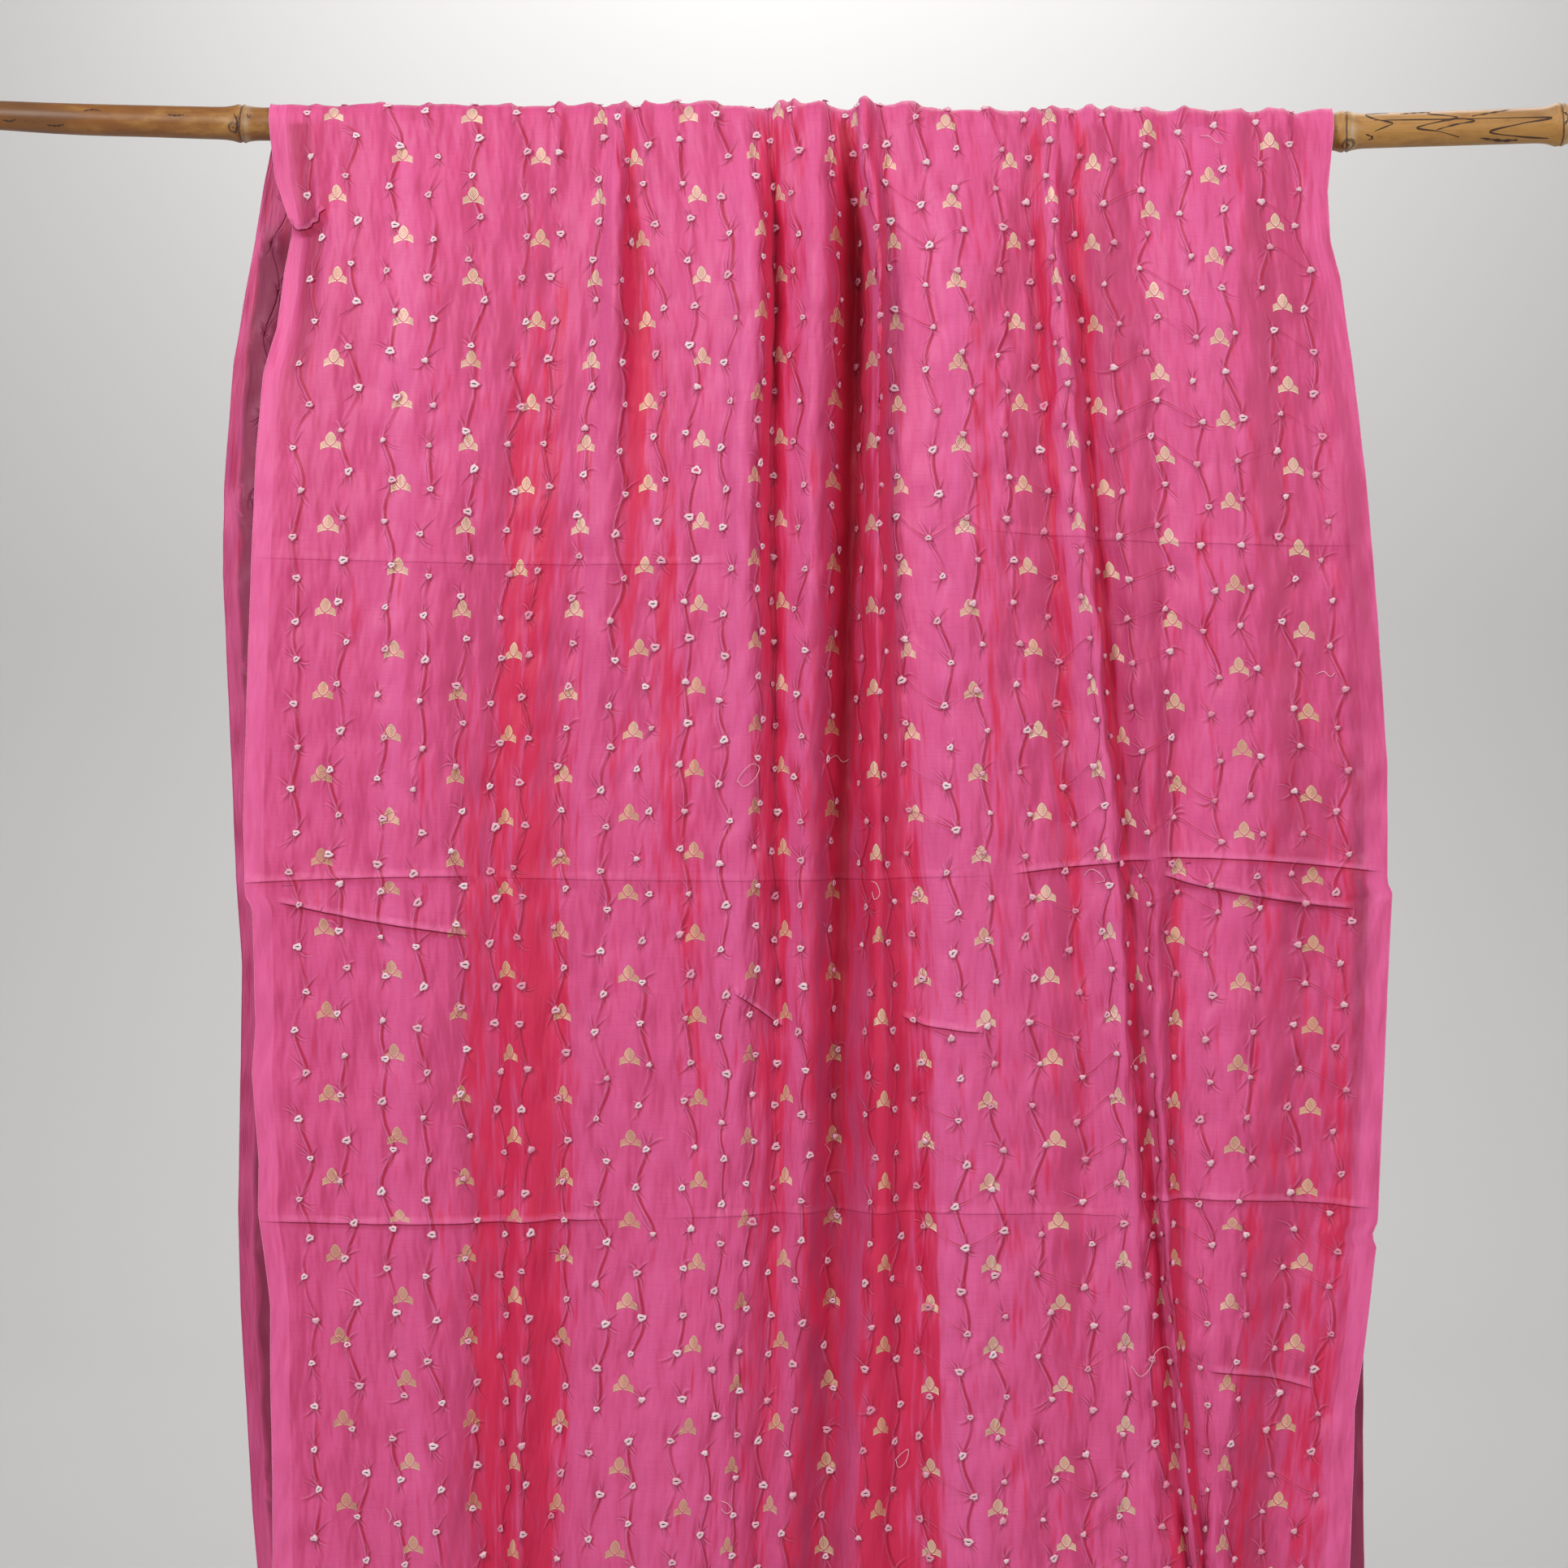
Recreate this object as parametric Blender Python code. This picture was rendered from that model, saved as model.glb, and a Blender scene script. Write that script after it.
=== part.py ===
"""A bandhani cloth hung over a bamboo pole.

The cloth is one thin silk sheet: it falls in front of the pole, passes over it and falls
behind it, with its width taken up by upright folds. The pole is one length of bamboo with
its nodes. Metres, +Z up. The origin is on the pole's axis at mid span, and the front of the
cloth faces -Y.
"""

import math
from collections import namedtuple

import bmesh
import bpy
import numpy as np

MM = 0.001

# The cloth: its sheet, the gap it keeps from the pole, and how far each fall hangs.
SHEET_THICKNESS = 1.5 * MM
SEAT_GAP = 0.5 * MM
FRONT_FALL = 1222 * MM
BACK_FALL = 1205 * MM
HEM_SLANT = 9 * MM
HEM_WAVE = 4 * MM

# The cloth's pattern has 19 columns of woven flowers, so columns 0 and 20 are its selvedges.
LAST_COLUMN = 20
SHEET_COLUMNS = 64
FINE_FOLDS_FROM, FINE_FOLDS_TO, FINE_FOLDS_DENSITY = 7.0, 12.6, 1.7

# The rows of the sheet: drops below the axis on each side, and steps over the pole.
FRONT_DROPS = tuple(
    drop * MM
    for drop in (0, 14, 34, 66, 112, 172, 245, 330, 425, 525, 625, 725, 825, 925, 1025, 1125)
)
BACK_DROPS = tuple(drop * MM for drop in (0, 30, 80, 160, 270, 410, 570, 740, 910, 1070))
STEPS_OVER_POLE = 6

# How far the middle of each fall stands from the pole's axis plane, at each level.
Level = namedtuple("Level", "name drop front_stand back_stand")
LEVELS = (
    Level("pole", 0, 0, 0),
    Level("collar", 60, 25, 24),
    Level("upper", 290, 40, 33),
    Level("middle", 555, 40, 36),
    Level("lower", 885, 38, 34),
    Level("hem", 1225, 35, 32),
)

# Where each flower column hangs at each level, in millimetres right of the pole's middle.
Column = namedtuple("Column", "place pole collar upper middle lower hem")
FRONT_COLUMNS = (
    Column(0, -425, -410, -428, -438, -425, -415),
    Column(1, -369, -364, -368, -375, -365, -351),
    Column(2, -313, -310, -310, -319, -311, -297),
    Column(3, -255, -253, -256, -266, -258, -249),
    Column(4, -199, -198, -209, -226, -218, -220),
    Column(5, -149, -150, -162, -180, -179, -188),
    Column(6, -125, -118, -110, -125, -125, -140),
    Column(7, -78, -71, -67, -73, -69, -88),
    Column(8, -28, -20, -24, -23, -32, -50),
    Column(9, -5, -3, -3, -1, 1, -17),
    Column(10, 36, 41, 41, 40, 40, 30),
    Column(11, 58, 66, 70, 74, 82, 74),
    Column(12, 83, 87, 94, 106, 116, 120),
    Column(13, 132, 136, 144, 158, 167, 175),
    Column(14, 183, 186, 194, 209, 222, 231),
    Column(15, 216, 217, 235, 256, 274, 278),
    Column(16, 253, 251, 259, 279, 301, 329),
    Column(17, 297, 298, 310, 319, 316, 340),
    Column(18, 346, 347, 360, 372, 363, 353),
    Column(19, 396, 399, 414, 428, 424, 392),
    Column(20, 452, 443, 471, 490, 480, 456),
)
BACK_EDGES = (
    Column(0, -425, -431, -464, -459, -452, -434),
    Column(20, 452, 446, 472, 488, 483, 462),
)

# The upright folds. A fold's centre runs from one flower column at the pole to another at the
# hem. Its depth at each level is in millimetres: ridges stand towards the viewer of that side.
Fold = namedtuple("Fold", "name at_pole at_hem half_width collar upper middle lower hem")
FRONT_FOLDS = (
    Fold("rolled border", 0.0, 0.0, 0.55, -15, -4, 0, 0, 0),
    Fold("left swell", 2.0, 2.2, 1.0, 3, 4, 5, 5, 6),
    Fold("left valley", 4.3, 3.3, 0.5, -3, -6, -8, -10, -14),
    Fold("left rib", 4.6, 4.1, 0.35, 0, 4, 5, 6, 9),
    Fold("band valley", 4.9, 4.8, 0.4, 0, -4, -9, -10, -14),
    Fold("crease ridge", 5.45, 5.6, 0.3, 13, 8, 3, 0, 0),
    Fold("crease valley", 5.8, 6.0, 0.3, -11, -5, 0, 0, 0),
    Fold("middle swell", 6.8, 6.6, 0.8, 3, 4, 6, 6, 8),
    Fold("step ridge", 7.85, 7.6, 0.4, 13, 15, 10, 6, 3),
    Fold("step valley", 8.75, 8.9, 0.4, -15, -19, -18, -14, -14),
    Fold("rib", 9.7, 9.35, 0.35, 14, 14, 9, 6, 6),
    Fold("deep valley", 10.6, 9.9, 0.42, -22, -32, -30, -24, -16),
    Fold("pleat ridge", 11.45, 10.6, 0.35, 20, 22, 14, 10, 8),
    Fold("pleat slope", 12.0, 11.5, 0.4, 0, -4, -8, -12, -12),
    Fold("right swell", 12.9, 12.5, 0.7, 6, 8, 8, 8, 10),
    Fold("shoulder valley", 14.4, 14.2, 0.5, -6, -8, -5, -4, -4),
    Fold("shoulder ridge", 15.0, 15.3, 0.4, 8, 10, 10, 8, 5),
    Fold("pleat shade", 15.6, 16.2, 0.35, -8, -14, -14, -12, -6),
    Fold("narrow pleat", 16.2, 16.8, 0.3, 3, 6, 12, 16, 18),
    Fold("narrow valley", 16.8, 17.4, 0.35, -3, -4, -6, -12, -18),
    Fold("right panel", 17.9, 18.0, 0.6, 3, 3, 3, 4, 6),
    Fold("right valley", 19.0, 18.6, 0.5, -2, -3, -3, -6, -14),
    Fold("right border", 20.0, 20.0, 0.5, 0, 2, 3, 5, 6),
)
BACK_FOLDS = (
    Fold("left border", 0.3, 0.4, 0.7, -3, -4, 2, 4, 5),
    Fold("first ridge", 2.1, 1.9, 0.7, 6, 10, 12, 12, 13),
    Fold("first valley", 3.3, 3.2, 0.5, -7, -10, -11, -12, -12),
    Fold("second ridge", 4.6, 4.5, 0.6, 9, 12, 13, 12, 10),
    Fold("second valley", 5.7, 5.8, 0.5, -10, -14, -13, -12, -14),
    Fold("third ridge", 7.0, 7.2, 0.6, 8, 11, 12, 14, 15),
    Fold("third valley", 8.3, 8.4, 0.5, -10, -13, -15, -14, -13),
    Fold("middle ridge", 9.6, 9.9, 0.6, 12, 15, 16, 15, 14),
    Fold("middle valley", 10.9, 11.3, 0.5, -14, -20, -19, -17, -15),
    Fold("fourth ridge", 12.2, 12.6, 0.6, 12, 14, 12, 12, 13),
    Fold("fourth valley", 13.7, 13.9, 0.5, -8, -11, -12, -14, -15),
    Fold("fifth ridge", 15.0, 15.2, 0.6, 8, 12, 14, 14, 13),
    Fold("fifth valley", 16.3, 16.5, 0.5, -8, -11, -12, -12, -12),
    Fold("last ridge", 17.7, 17.8, 0.7, 6, 9, 11, 12, 12),
    Fold("right border", 19.5, 19.4, 0.6, -4, -6, -5, -4, -5),
)
RIDGE_OVER_POLE = 0.3

# The pole: its bare culm at a few stations, and the swelling at each of its nodes.
Station = namedtuple("Station", "x axis_height diameter")
POLE_STATIONS = (
    Station(-668, 12.0, 22.8),
    Station(-584, 7.9, 25.4),
    Station(-522, 6.1, 25.8),
    Station(-446, 4.2, 26.6),
    Station(-311, 2.3, 27.4),
    Station(0, 0.0, 28.0),
    Station(290, -2.0, 28.2),
    Station(463, -2.3, 28.3),
    Station(530, -0.3, 28.4),
    Station(596, 1.9, 28.6),
    Station(637, 3.3, 29.0),
    Station(668, 4.6, 29.4),
)
Node = namedtuple("Node", "x swelling")
POLE_NODES = (
    Node(-446, 1.9),
    Node(-264, 1.7),
    Node(-84, 1.7),
    Node(97, 1.8),
    Node(278, 1.8),
    Node(460, 2.3),
    Node(637, 2.8),
)
NODE_HALF_WIDTH = 9 * MM
NODE_RINGS = (-16, 0, 16)
POLE_SIDES = 16
CULM_WALL = 4.5 * MM
BORE_DEPTH = 12 * MM

Finish = namedtuple("Finish", "color roughness")
SILK = Finish((0.62, 0.065, 0.21, 1.0), 0.5)
BAMBOO = Finish((0.42, 0.27, 0.11, 1.0), 0.45)


def smooth_curve(knots, values, at):
    """Values of the smooth curve through (knots, values), held level past both its ends."""
    knots = np.asarray(knots, float)
    values = np.asarray(values, float)
    at = np.clip(at, knots[0], knots[-1])
    slopes = np.gradient(values, knots)
    span_index = np.clip(np.searchsorted(knots, at, side="right") - 1, 0, len(knots) - 2)
    span = knots[span_index + 1] - knots[span_index]
    t = (at - knots[span_index]) / span
    rise = values[span_index + 1] - values[span_index]
    bend_in = slopes[span_index] * span - rise
    bend_out = rise - slopes[span_index + 1] * span
    return values[span_index] + t * rise + t * (1 - t) * ((1 - t) * bend_in + t * bend_out)


def clear_scene():
    """Remove every object, so that the file can be run from any scene."""
    for obj in list(bpy.data.objects):
        bpy.data.objects.remove(obj, do_unlink=True)


def make_material(name, finish):
    """One Principled material with the finish's colour and roughness."""
    material = bpy.data.materials.new(name)
    material.use_nodes = True
    shader = material.node_tree.nodes["Principled BSDF"]
    shader.inputs["Base Color"].default_value = finish.color
    shader.inputs["Roughness"].default_value = finish.roughness
    shader.inputs["Metallic"].default_value = 0.0
    return material


def add_object(name, mesh, material):
    """Link a mesh into the scene as a named, smooth shaded object."""
    mesh.materials.append(material)
    mesh.shade_smooth()
    obj = bpy.data.objects.new(name, mesh)
    bpy.context.scene.collection.objects.link(obj)
    return obj


def pole_axis_height(x):
    """Height of the bamboo's axis, which sags a little towards the right of its middle."""
    stations = [station.x * MM for station in POLE_STATIONS]
    heights = [station.axis_height * MM for station in POLE_STATIONS]
    return smooth_curve(stations, heights, x)


def pole_radius(x):
    """Radius of the bamboo, its culm and the swelling of the nodes near x."""
    stations = [station.x * MM for station in POLE_STATIONS]
    radii = [station.diameter * MM / 2 for station in POLE_STATIONS]
    radius = smooth_curve(stations, radii, x)
    for node in POLE_NODES:
        away = (x - node.x * MM) / NODE_HALF_WIDTH
        radius = radius + node.swelling * MM * np.exp(-away * away)
    return radius


def level_values(row):
    """A fold's depths or a column's places at the six levels, in metres."""
    return [getattr(row, level.name, 0) * MM for level in LEVELS]


def column_x(rows, columns, drop):
    """Where the given columns hang at this drop, read from the rows of a column table."""
    drops = [level.drop * MM for level in LEVELS]
    places = [row.place for row in rows]
    at_drop = [smooth_curve(drops, level_values(row), drop) for row in rows]
    return smooth_curve(places, at_drop, columns)


def fold_depth(folds, columns, drop):
    """How far the folds stand out, or in, at these columns and this drop."""
    drops = [level.drop * MM for level in LEVELS]
    share = min(drop / drops[-1], 1.0)
    depth = np.zeros_like(columns)
    for fold in folds:
        centre = fold.at_pole + (fold.at_hem - fold.at_pole) * share
        away = (columns - centre) / fold.half_width
        depth += smooth_curve(drops, level_values(fold), drop) * np.exp(-away * away)
    return depth


def ridges_over_pole(folds, columns):
    """The part of each fold's ridge that carries on over the pole."""
    depth = np.zeros_like(columns)
    for fold in folds:
        away = (columns - fold.at_pole) / fold.half_width
        ridge = max(fold.collar, 0) * MM * RIDGE_OVER_POLE
        depth += ridge * np.exp(-away * away)
    return depth


def seat_radius(x):
    """Radius of the sheet's middle surface on the pole, clear of the widest bamboo near x."""
    reach = 18 * MM
    offsets = np.linspace(-reach, reach, 13)
    widest = np.max([pole_radius(x + offset) for offset in offsets], axis=0)
    half_step = math.pi / STEPS_OVER_POLE / 2
    return (widest + SEAT_GAP) / math.cos(half_step) + SHEET_THICKNESS / 2


def sheet_columns():
    """Places of the sheet's columns of points, closer together where the folds are tight."""
    even = np.linspace(0, LAST_COLUMN, 401)
    inside = (even > FINE_FOLDS_FROM) & (even < FINE_FOLDS_TO)
    density = np.where(inside, FINE_FOLDS_DENSITY, 1.0)
    filled = np.concatenate([[0], np.cumsum((density[1:] + density[:-1]) / 2)])
    return np.interp(np.linspace(0, filled[-1], SHEET_COLUMNS + 1), filled, even)


def fall_row(columns, drop, front):
    """One row of points across the front or the back fall, at a drop below the axis."""
    drops = [level.drop * MM for level in LEVELS]
    if front:
        x = column_x(FRONT_COLUMNS, columns, drop)
        stands = [level.front_stand * MM for level in LEVELS]
        folds, side = FRONT_FOLDS, -1
    else:
        spread = column_x(BACK_EDGES, columns, drop)
        at_pole = column_x(FRONT_COLUMNS, columns, 0.0)
        settled = smooth_curve((0.0, drops[2]), (0.0, 1.0), drop)
        x = at_pole + (spread - at_pole) * settled
        stands = [level.back_stand * MM for level in LEVELS]
        folds, side = BACK_FOLDS, 1
    shape = fold_depth(folds, columns, drop)
    over = ridges_over_pole(folds, columns)
    seat = seat_radius(x)
    near_pole = math.exp(-((drop / (drops[1] / 2)) ** 2))
    stand = np.maximum(smooth_curve(drops, stands, drop), seat * near_pole)
    y = side * (stand + shape * (1 - near_pole) + over * near_pole)
    axis = pole_axis_height(x) * math.exp(-drop / drops[2])
    return np.stack([x, y, axis - drop], axis=1)


def over_row(columns, angle):
    """One row of points over the pole. The angle runs from 0, in front, to pi, behind."""
    x = column_x(FRONT_COLUMNS, columns, 0.0)
    share = angle / math.pi
    ridges = (1 - share) * ridges_over_pole(FRONT_FOLDS, columns)
    ridges += share * ridges_over_pole(BACK_FOLDS, columns)
    radius = seat_radius(x) + ridges
    y = -radius * math.cos(angle)
    z = pole_axis_height(x) + radius * math.sin(angle)
    return np.stack([x, y, z], axis=1)


def hem_row(columns, front):
    """The last row of a fall, which hangs a little unevenly."""
    fall = FRONT_FALL if front else BACK_FALL
    row = fall_row(columns, fall, front)
    across = columns / LAST_COLUMN
    row[:, 2] += HEM_SLANT * (across - 0.5) + HEM_WAVE * np.sin(3.3 * math.tau * across)
    return row


def build_cloth(material):
    """The whole cloth: one grid of points from the front hem over the pole to the back hem."""
    columns = sheet_columns()
    rows = [hem_row(columns, front=True)]
    rows += [fall_row(columns, drop, front=True) for drop in reversed(FRONT_DROPS)]
    for step in range(1, STEPS_OVER_POLE):
        rows.append(over_row(columns, math.pi * step / STEPS_OVER_POLE))
    rows += [fall_row(columns, drop, front=False) for drop in BACK_DROPS]
    rows.append(hem_row(columns, front=False))

    width = len(columns)
    points = np.concatenate(rows)
    faces = []
    for row in range(len(rows) - 1):
        for column in range(width - 1):
            corner = row * width + column
            faces.append((corner, corner + 1, corner + width + 1, corner + width))
    mesh = bpy.data.meshes.new("cloth")
    mesh.from_pydata(points.tolist(), [], faces)
    cloth = add_object("cloth", mesh, material)
    sheet = cloth.modifiers.new("sheet", "SOLIDIFY")
    sheet.thickness = SHEET_THICKNESS
    sheet.offset = 0.0
    return cloth


def pole_ring_places():
    """Where the bamboo's rings stand: both ends, around each node and half way between."""
    ends = [POLE_STATIONS[0].x, POLE_STATIONS[-1].x]
    places = set(ends)
    for node in POLE_NODES:
        places.update(node.x + offset for offset in NODE_RINGS)
    marks = [ends[0]] + [node.x for node in POLE_NODES] + [ends[1]]
    places.update((left + right) / 2 for left, right in zip(marks, marks[1:]))
    return [place * MM for place in sorted(places) if ends[0] <= place <= ends[1]]


def add_ring(shape, x, radius, axis_height):
    """A ring of the bamboo's points, square to X."""
    ring = []
    for side in range(POLE_SIDES):
        turn = math.tau * side / POLE_SIDES
        y = radius * math.cos(turn)
        z = axis_height + radius * math.sin(turn)
        ring.append(shape.verts.new((x, y, z)))
    return ring


def join_rings(shape, first, second):
    """A band of faces between two rings."""
    for side in range(POLE_SIDES):
        after = (side + 1) % POLE_SIDES
        shape.faces.new((first[side], first[after], second[after], second[side]))


def build_pole(material):
    """The bamboo: rings along its bent axis, with a short open bore at each sawn end."""
    shape = bmesh.new()
    places = pole_ring_places()
    outside = [add_ring(shape, x, float(pole_radius(x)), float(pole_axis_height(x))) for x in places]
    for first, second in zip(outside, outside[1:]):
        join_rings(shape, first, second)
    for end, inwards in ((0, 1), (-1, -1)):
        x = places[end]
        bore = float(pole_radius(x)) - CULM_WALL
        height = float(pole_axis_height(x))
        mouth = add_ring(shape, x, bore, height)
        floor = add_ring(shape, x + inwards * BORE_DEPTH, bore, height)
        join_rings(shape, outside[end], mouth)
        join_rings(shape, mouth, floor)
        shape.faces.new(floor)
    bmesh.ops.recalc_face_normals(shape, faces=shape.faces)
    mesh = bpy.data.meshes.new("bamboo_pole")
    shape.to_mesh(mesh)
    shape.free()
    pole = add_object("bamboo_pole", mesh, material)
    pole.data.set_sharp_from_angle(angle=math.radians(40))
    return pole


def main():
    """Build the cloth and its pole."""
    clear_scene()
    build_cloth(make_material("silk", SILK))
    build_pole(make_material("bamboo", BAMBOO))


main()
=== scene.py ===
"""The looks of a tie-dyed silk cloth hung over a bamboo pole.

The cloth is one length of shot silk, pink over crimson, folded once over the pole. Its fine
surface is set out on the flat cloth first: strings of tied knots, with a pinched line from knot to
knot and short puckers around each one. The flat cloth is then hung in the upright folds of the
solid model, and the knots, the rolled edges and the loose tying threads are set on it.

The scene is in metres. Sizes on the cloth and the pole are in millimetres.
"""

import logging
import math
from collections.abc import Callable, Sequence
from dataclasses import dataclass, field
from enum import Enum

import bpy
import numpy as np
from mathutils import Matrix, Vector


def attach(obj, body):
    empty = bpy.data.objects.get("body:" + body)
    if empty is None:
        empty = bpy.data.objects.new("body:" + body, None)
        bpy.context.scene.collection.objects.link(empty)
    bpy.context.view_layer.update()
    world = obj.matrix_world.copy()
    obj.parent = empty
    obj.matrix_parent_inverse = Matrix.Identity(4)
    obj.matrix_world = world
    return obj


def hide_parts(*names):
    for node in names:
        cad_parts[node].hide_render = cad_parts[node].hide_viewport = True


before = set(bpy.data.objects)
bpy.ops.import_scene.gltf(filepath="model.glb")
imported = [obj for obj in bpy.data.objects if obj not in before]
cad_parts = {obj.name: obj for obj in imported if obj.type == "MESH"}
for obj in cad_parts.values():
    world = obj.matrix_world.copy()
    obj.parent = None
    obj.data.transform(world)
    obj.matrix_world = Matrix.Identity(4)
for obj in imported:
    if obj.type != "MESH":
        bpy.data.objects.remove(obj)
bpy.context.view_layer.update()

LOG = logging.getLogger("bandhani")
MM = 0.001

# The flat cloth: its width, the border outside its sprigs and the pitch of their columns, in mm.
# Its selvedges count as column 0 and the last one. The strings of knots run down it.
CLOTH_WIDTH = 1117.6
BORDER = 60.7
SPRIG_PITCH = 55.4
LAST_COLUMN = 20
STRINGS = 31

Array = np.ndarray
Colour = tuple[float, float, float]


def bell(away: Array) -> Array:
    """A bell curve, 1 in its middle and about a third one unit away."""
    return np.exp(-away * away)


def ease(share: Array) -> Array:
    """A smooth step from 0 to 1 as share goes from 0 to 1."""
    share = np.clip(share, 0.0, 1.0)
    return share * share * (3 - 2 * share)


def blend(first: Array, second: Array, share: Array) -> Array:
    """First where share is 0, second where it is 1."""
    return first + (second - first) * share


def hermite(low: Array, high: Array, slope_low: Array, slope_high: Array, share: Array) -> Array:
    """The cubic between two values with the given slopes, over a span of one unit."""
    rise = high - low
    bend_in = slope_low - rise
    bend_out = rise - slope_high
    return low + share * rise + share * (1 - share) * ((1 - share) * bend_in + share * bend_out)


def smooth_curve(knots: Array, values: Array, at: Array) -> Array:
    """Values of the smooth curve through (knots, values), held level past both its ends.

    Args:
        knots: places along the curve, rising.
        values: one value for each knot.
        at: places where the curve is wanted.

    Returns:
        An array as long as at.
    """
    knots = np.asarray(knots, float)
    values = np.asarray(values, float)
    at = np.clip(at, knots[0], knots[-1])
    slopes = np.gradient(values, knots)
    index = np.clip(np.searchsorted(knots, at, side="right") - 1, 0, len(knots) - 2)
    span = knots[index + 1] - knots[index]
    share = (at - knots[index]) / span
    slope_low, slope_high = slopes[index] * span, slopes[index + 1] * span
    return hermite(values[index], values[index + 1], slope_low, slope_high, share)


def drawn(route: tuple[tuple[float, float], ...], steps: int) -> tuple[Array, Array, Array]:
    """A smooth line through the points of a route: the share of it at each step, and its places."""
    marks, at = np.linspace(0, 1, len(route)), np.linspace(0, 1, steps)
    first, second = (smooth_curve(marks, places, at) for places in zip(*route))
    return at, first, second


@dataclass(frozen=True)
class SmoothField:
    """A smooth random relief, from -1 to 1, that is the same at each run.

    Attributes:
        seed: which relief this is.
        across: size of its waves across the cloth, in mm.
        along: size of its waves along the cloth, in mm.
    """

    seed: int
    across: float
    along: float
    cells: int = 96

    def at(self, across: Array, along: Array) -> Array:
        """The relief at the given places, in mm across and along the cloth."""
        table = np.random.default_rng(self.seed).uniform(-1, 1, (self.cells, self.cells))
        x = across / self.across + self.cells / 2
        y = along / self.along + self.cells / 2
        column = np.floor(x).astype(int)
        row = np.floor(y).astype(int)
        x_share, y_share = ease(x - column), ease(y - row)
        column, row = column % self.cells, row % self.cells
        next_column, next_row = (column + 1) % self.cells, (row + 1) % self.cells
        near = blend(table[row, column], table[row, next_column], x_share)
        far = blend(table[next_row, column], table[next_row, next_column], x_share)
        return blend(near, far, y_share)


@dataclass(frozen=True)
class Level:
    """A height on the hanging cloth, and how far each fall's middle stands from the pole's axis."""

    drop: float
    front_stand: float
    back_stand: float


LEVELS = (
    Level(0, 15.3, 15.3),
    Level(60, 25, 24),
    Level(290, 40, 33),
    Level(555, 40, 36),
    Level(885, 38, 34),
    Level(1225, 35, 32),
)
LEVEL_DROPS = np.array([level.drop for level in LEVELS], float)


@dataclass(frozen=True)
class Column:
    """Where one column of woven sprigs hangs at each level, in mm right of the pole's middle."""

    place: float
    pole: float
    collar: float
    upper: float
    middle: float
    lower: float
    hem: float

    def x(self, drop: Array) -> Array:
        """Where the column hangs at these drops."""
        places = (self.pole, self.collar, self.upper, self.middle, self.lower, self.hem)
        return smooth_curve(LEVEL_DROPS, places, drop)


FRONT_COLUMNS = (
    Column(0, -425, -410, -428, -438, -425, -415),
    Column(1, -369, -364, -368, -375, -365, -351),
    Column(2, -313, -310, -310, -319, -311, -297),
    Column(3, -255, -253, -256, -266, -258, -249),
    Column(4, -199, -198, -209, -226, -218, -220),
    Column(5, -149, -150, -162, -180, -179, -188),
    Column(6, -125, -118, -110, -125, -125, -140),
    Column(7, -78, -71, -67, -73, -69, -88),
    Column(8, -28, -20, -24, -23, -32, -50),
    Column(9, -5, -3, -3, -1, 1, -17),
    Column(10, 36, 41, 41, 40, 40, 30),
    Column(11, 58, 66, 70, 74, 82, 74),
    Column(12, 83, 87, 94, 106, 116, 120),
    Column(13, 132, 136, 144, 158, 167, 175),
    Column(14, 183, 186, 194, 209, 222, 231),
    Column(15, 216, 217, 235, 256, 274, 278),
    Column(16, 253, 251, 259, 279, 301, 329),
    Column(17, 297, 298, 310, 319, 316, 340),
    Column(18, 346, 347, 360, 372, 363, 353),
    Column(19, 396, 399, 414, 428, 424, 392),
    Column(20, 452, 443, 471, 490, 480, 456),
)
BACK_EDGES = (
    Column(0, -425, -431, -464, -459, -452, -434),
    Column(20, 452, 446, 472, 487, 482, 482),
)


@dataclass(frozen=True)
class Fold:
    """One upright fold. Its middle runs from one sprig column at the pole to another at the hem.

    Attributes:
        depths: how far it stands out at the collar, upper, middle, lower and hem levels, in mm.
    """

    name: str
    at_pole: float
    at_hem: float
    half_width: float
    depths: tuple[float, float, float, float, float]

    def away(self, place: Array, drop: Array) -> Array:
        """How far these places are from the fold's middle, in half widths."""
        share = np.clip(drop / LEVEL_DROPS[-1], 0, 1)
        return (place - blend(self.at_pole, self.at_hem, share)) / self.half_width

    def depth(self, place: Array, drop: Array) -> Array:
        """How far the fold stands out at these places and drops."""
        depths = smooth_curve(LEVEL_DROPS, (0.0, *self.depths), drop)
        return depths * bell(self.away(place, drop))

    def over_pole(self, place: Array) -> Array:
        """How much of the fold's ridge carries on over the pole."""
        return max(self.depths[0], 0) * bell((place - self.at_pole) / self.half_width)


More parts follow.
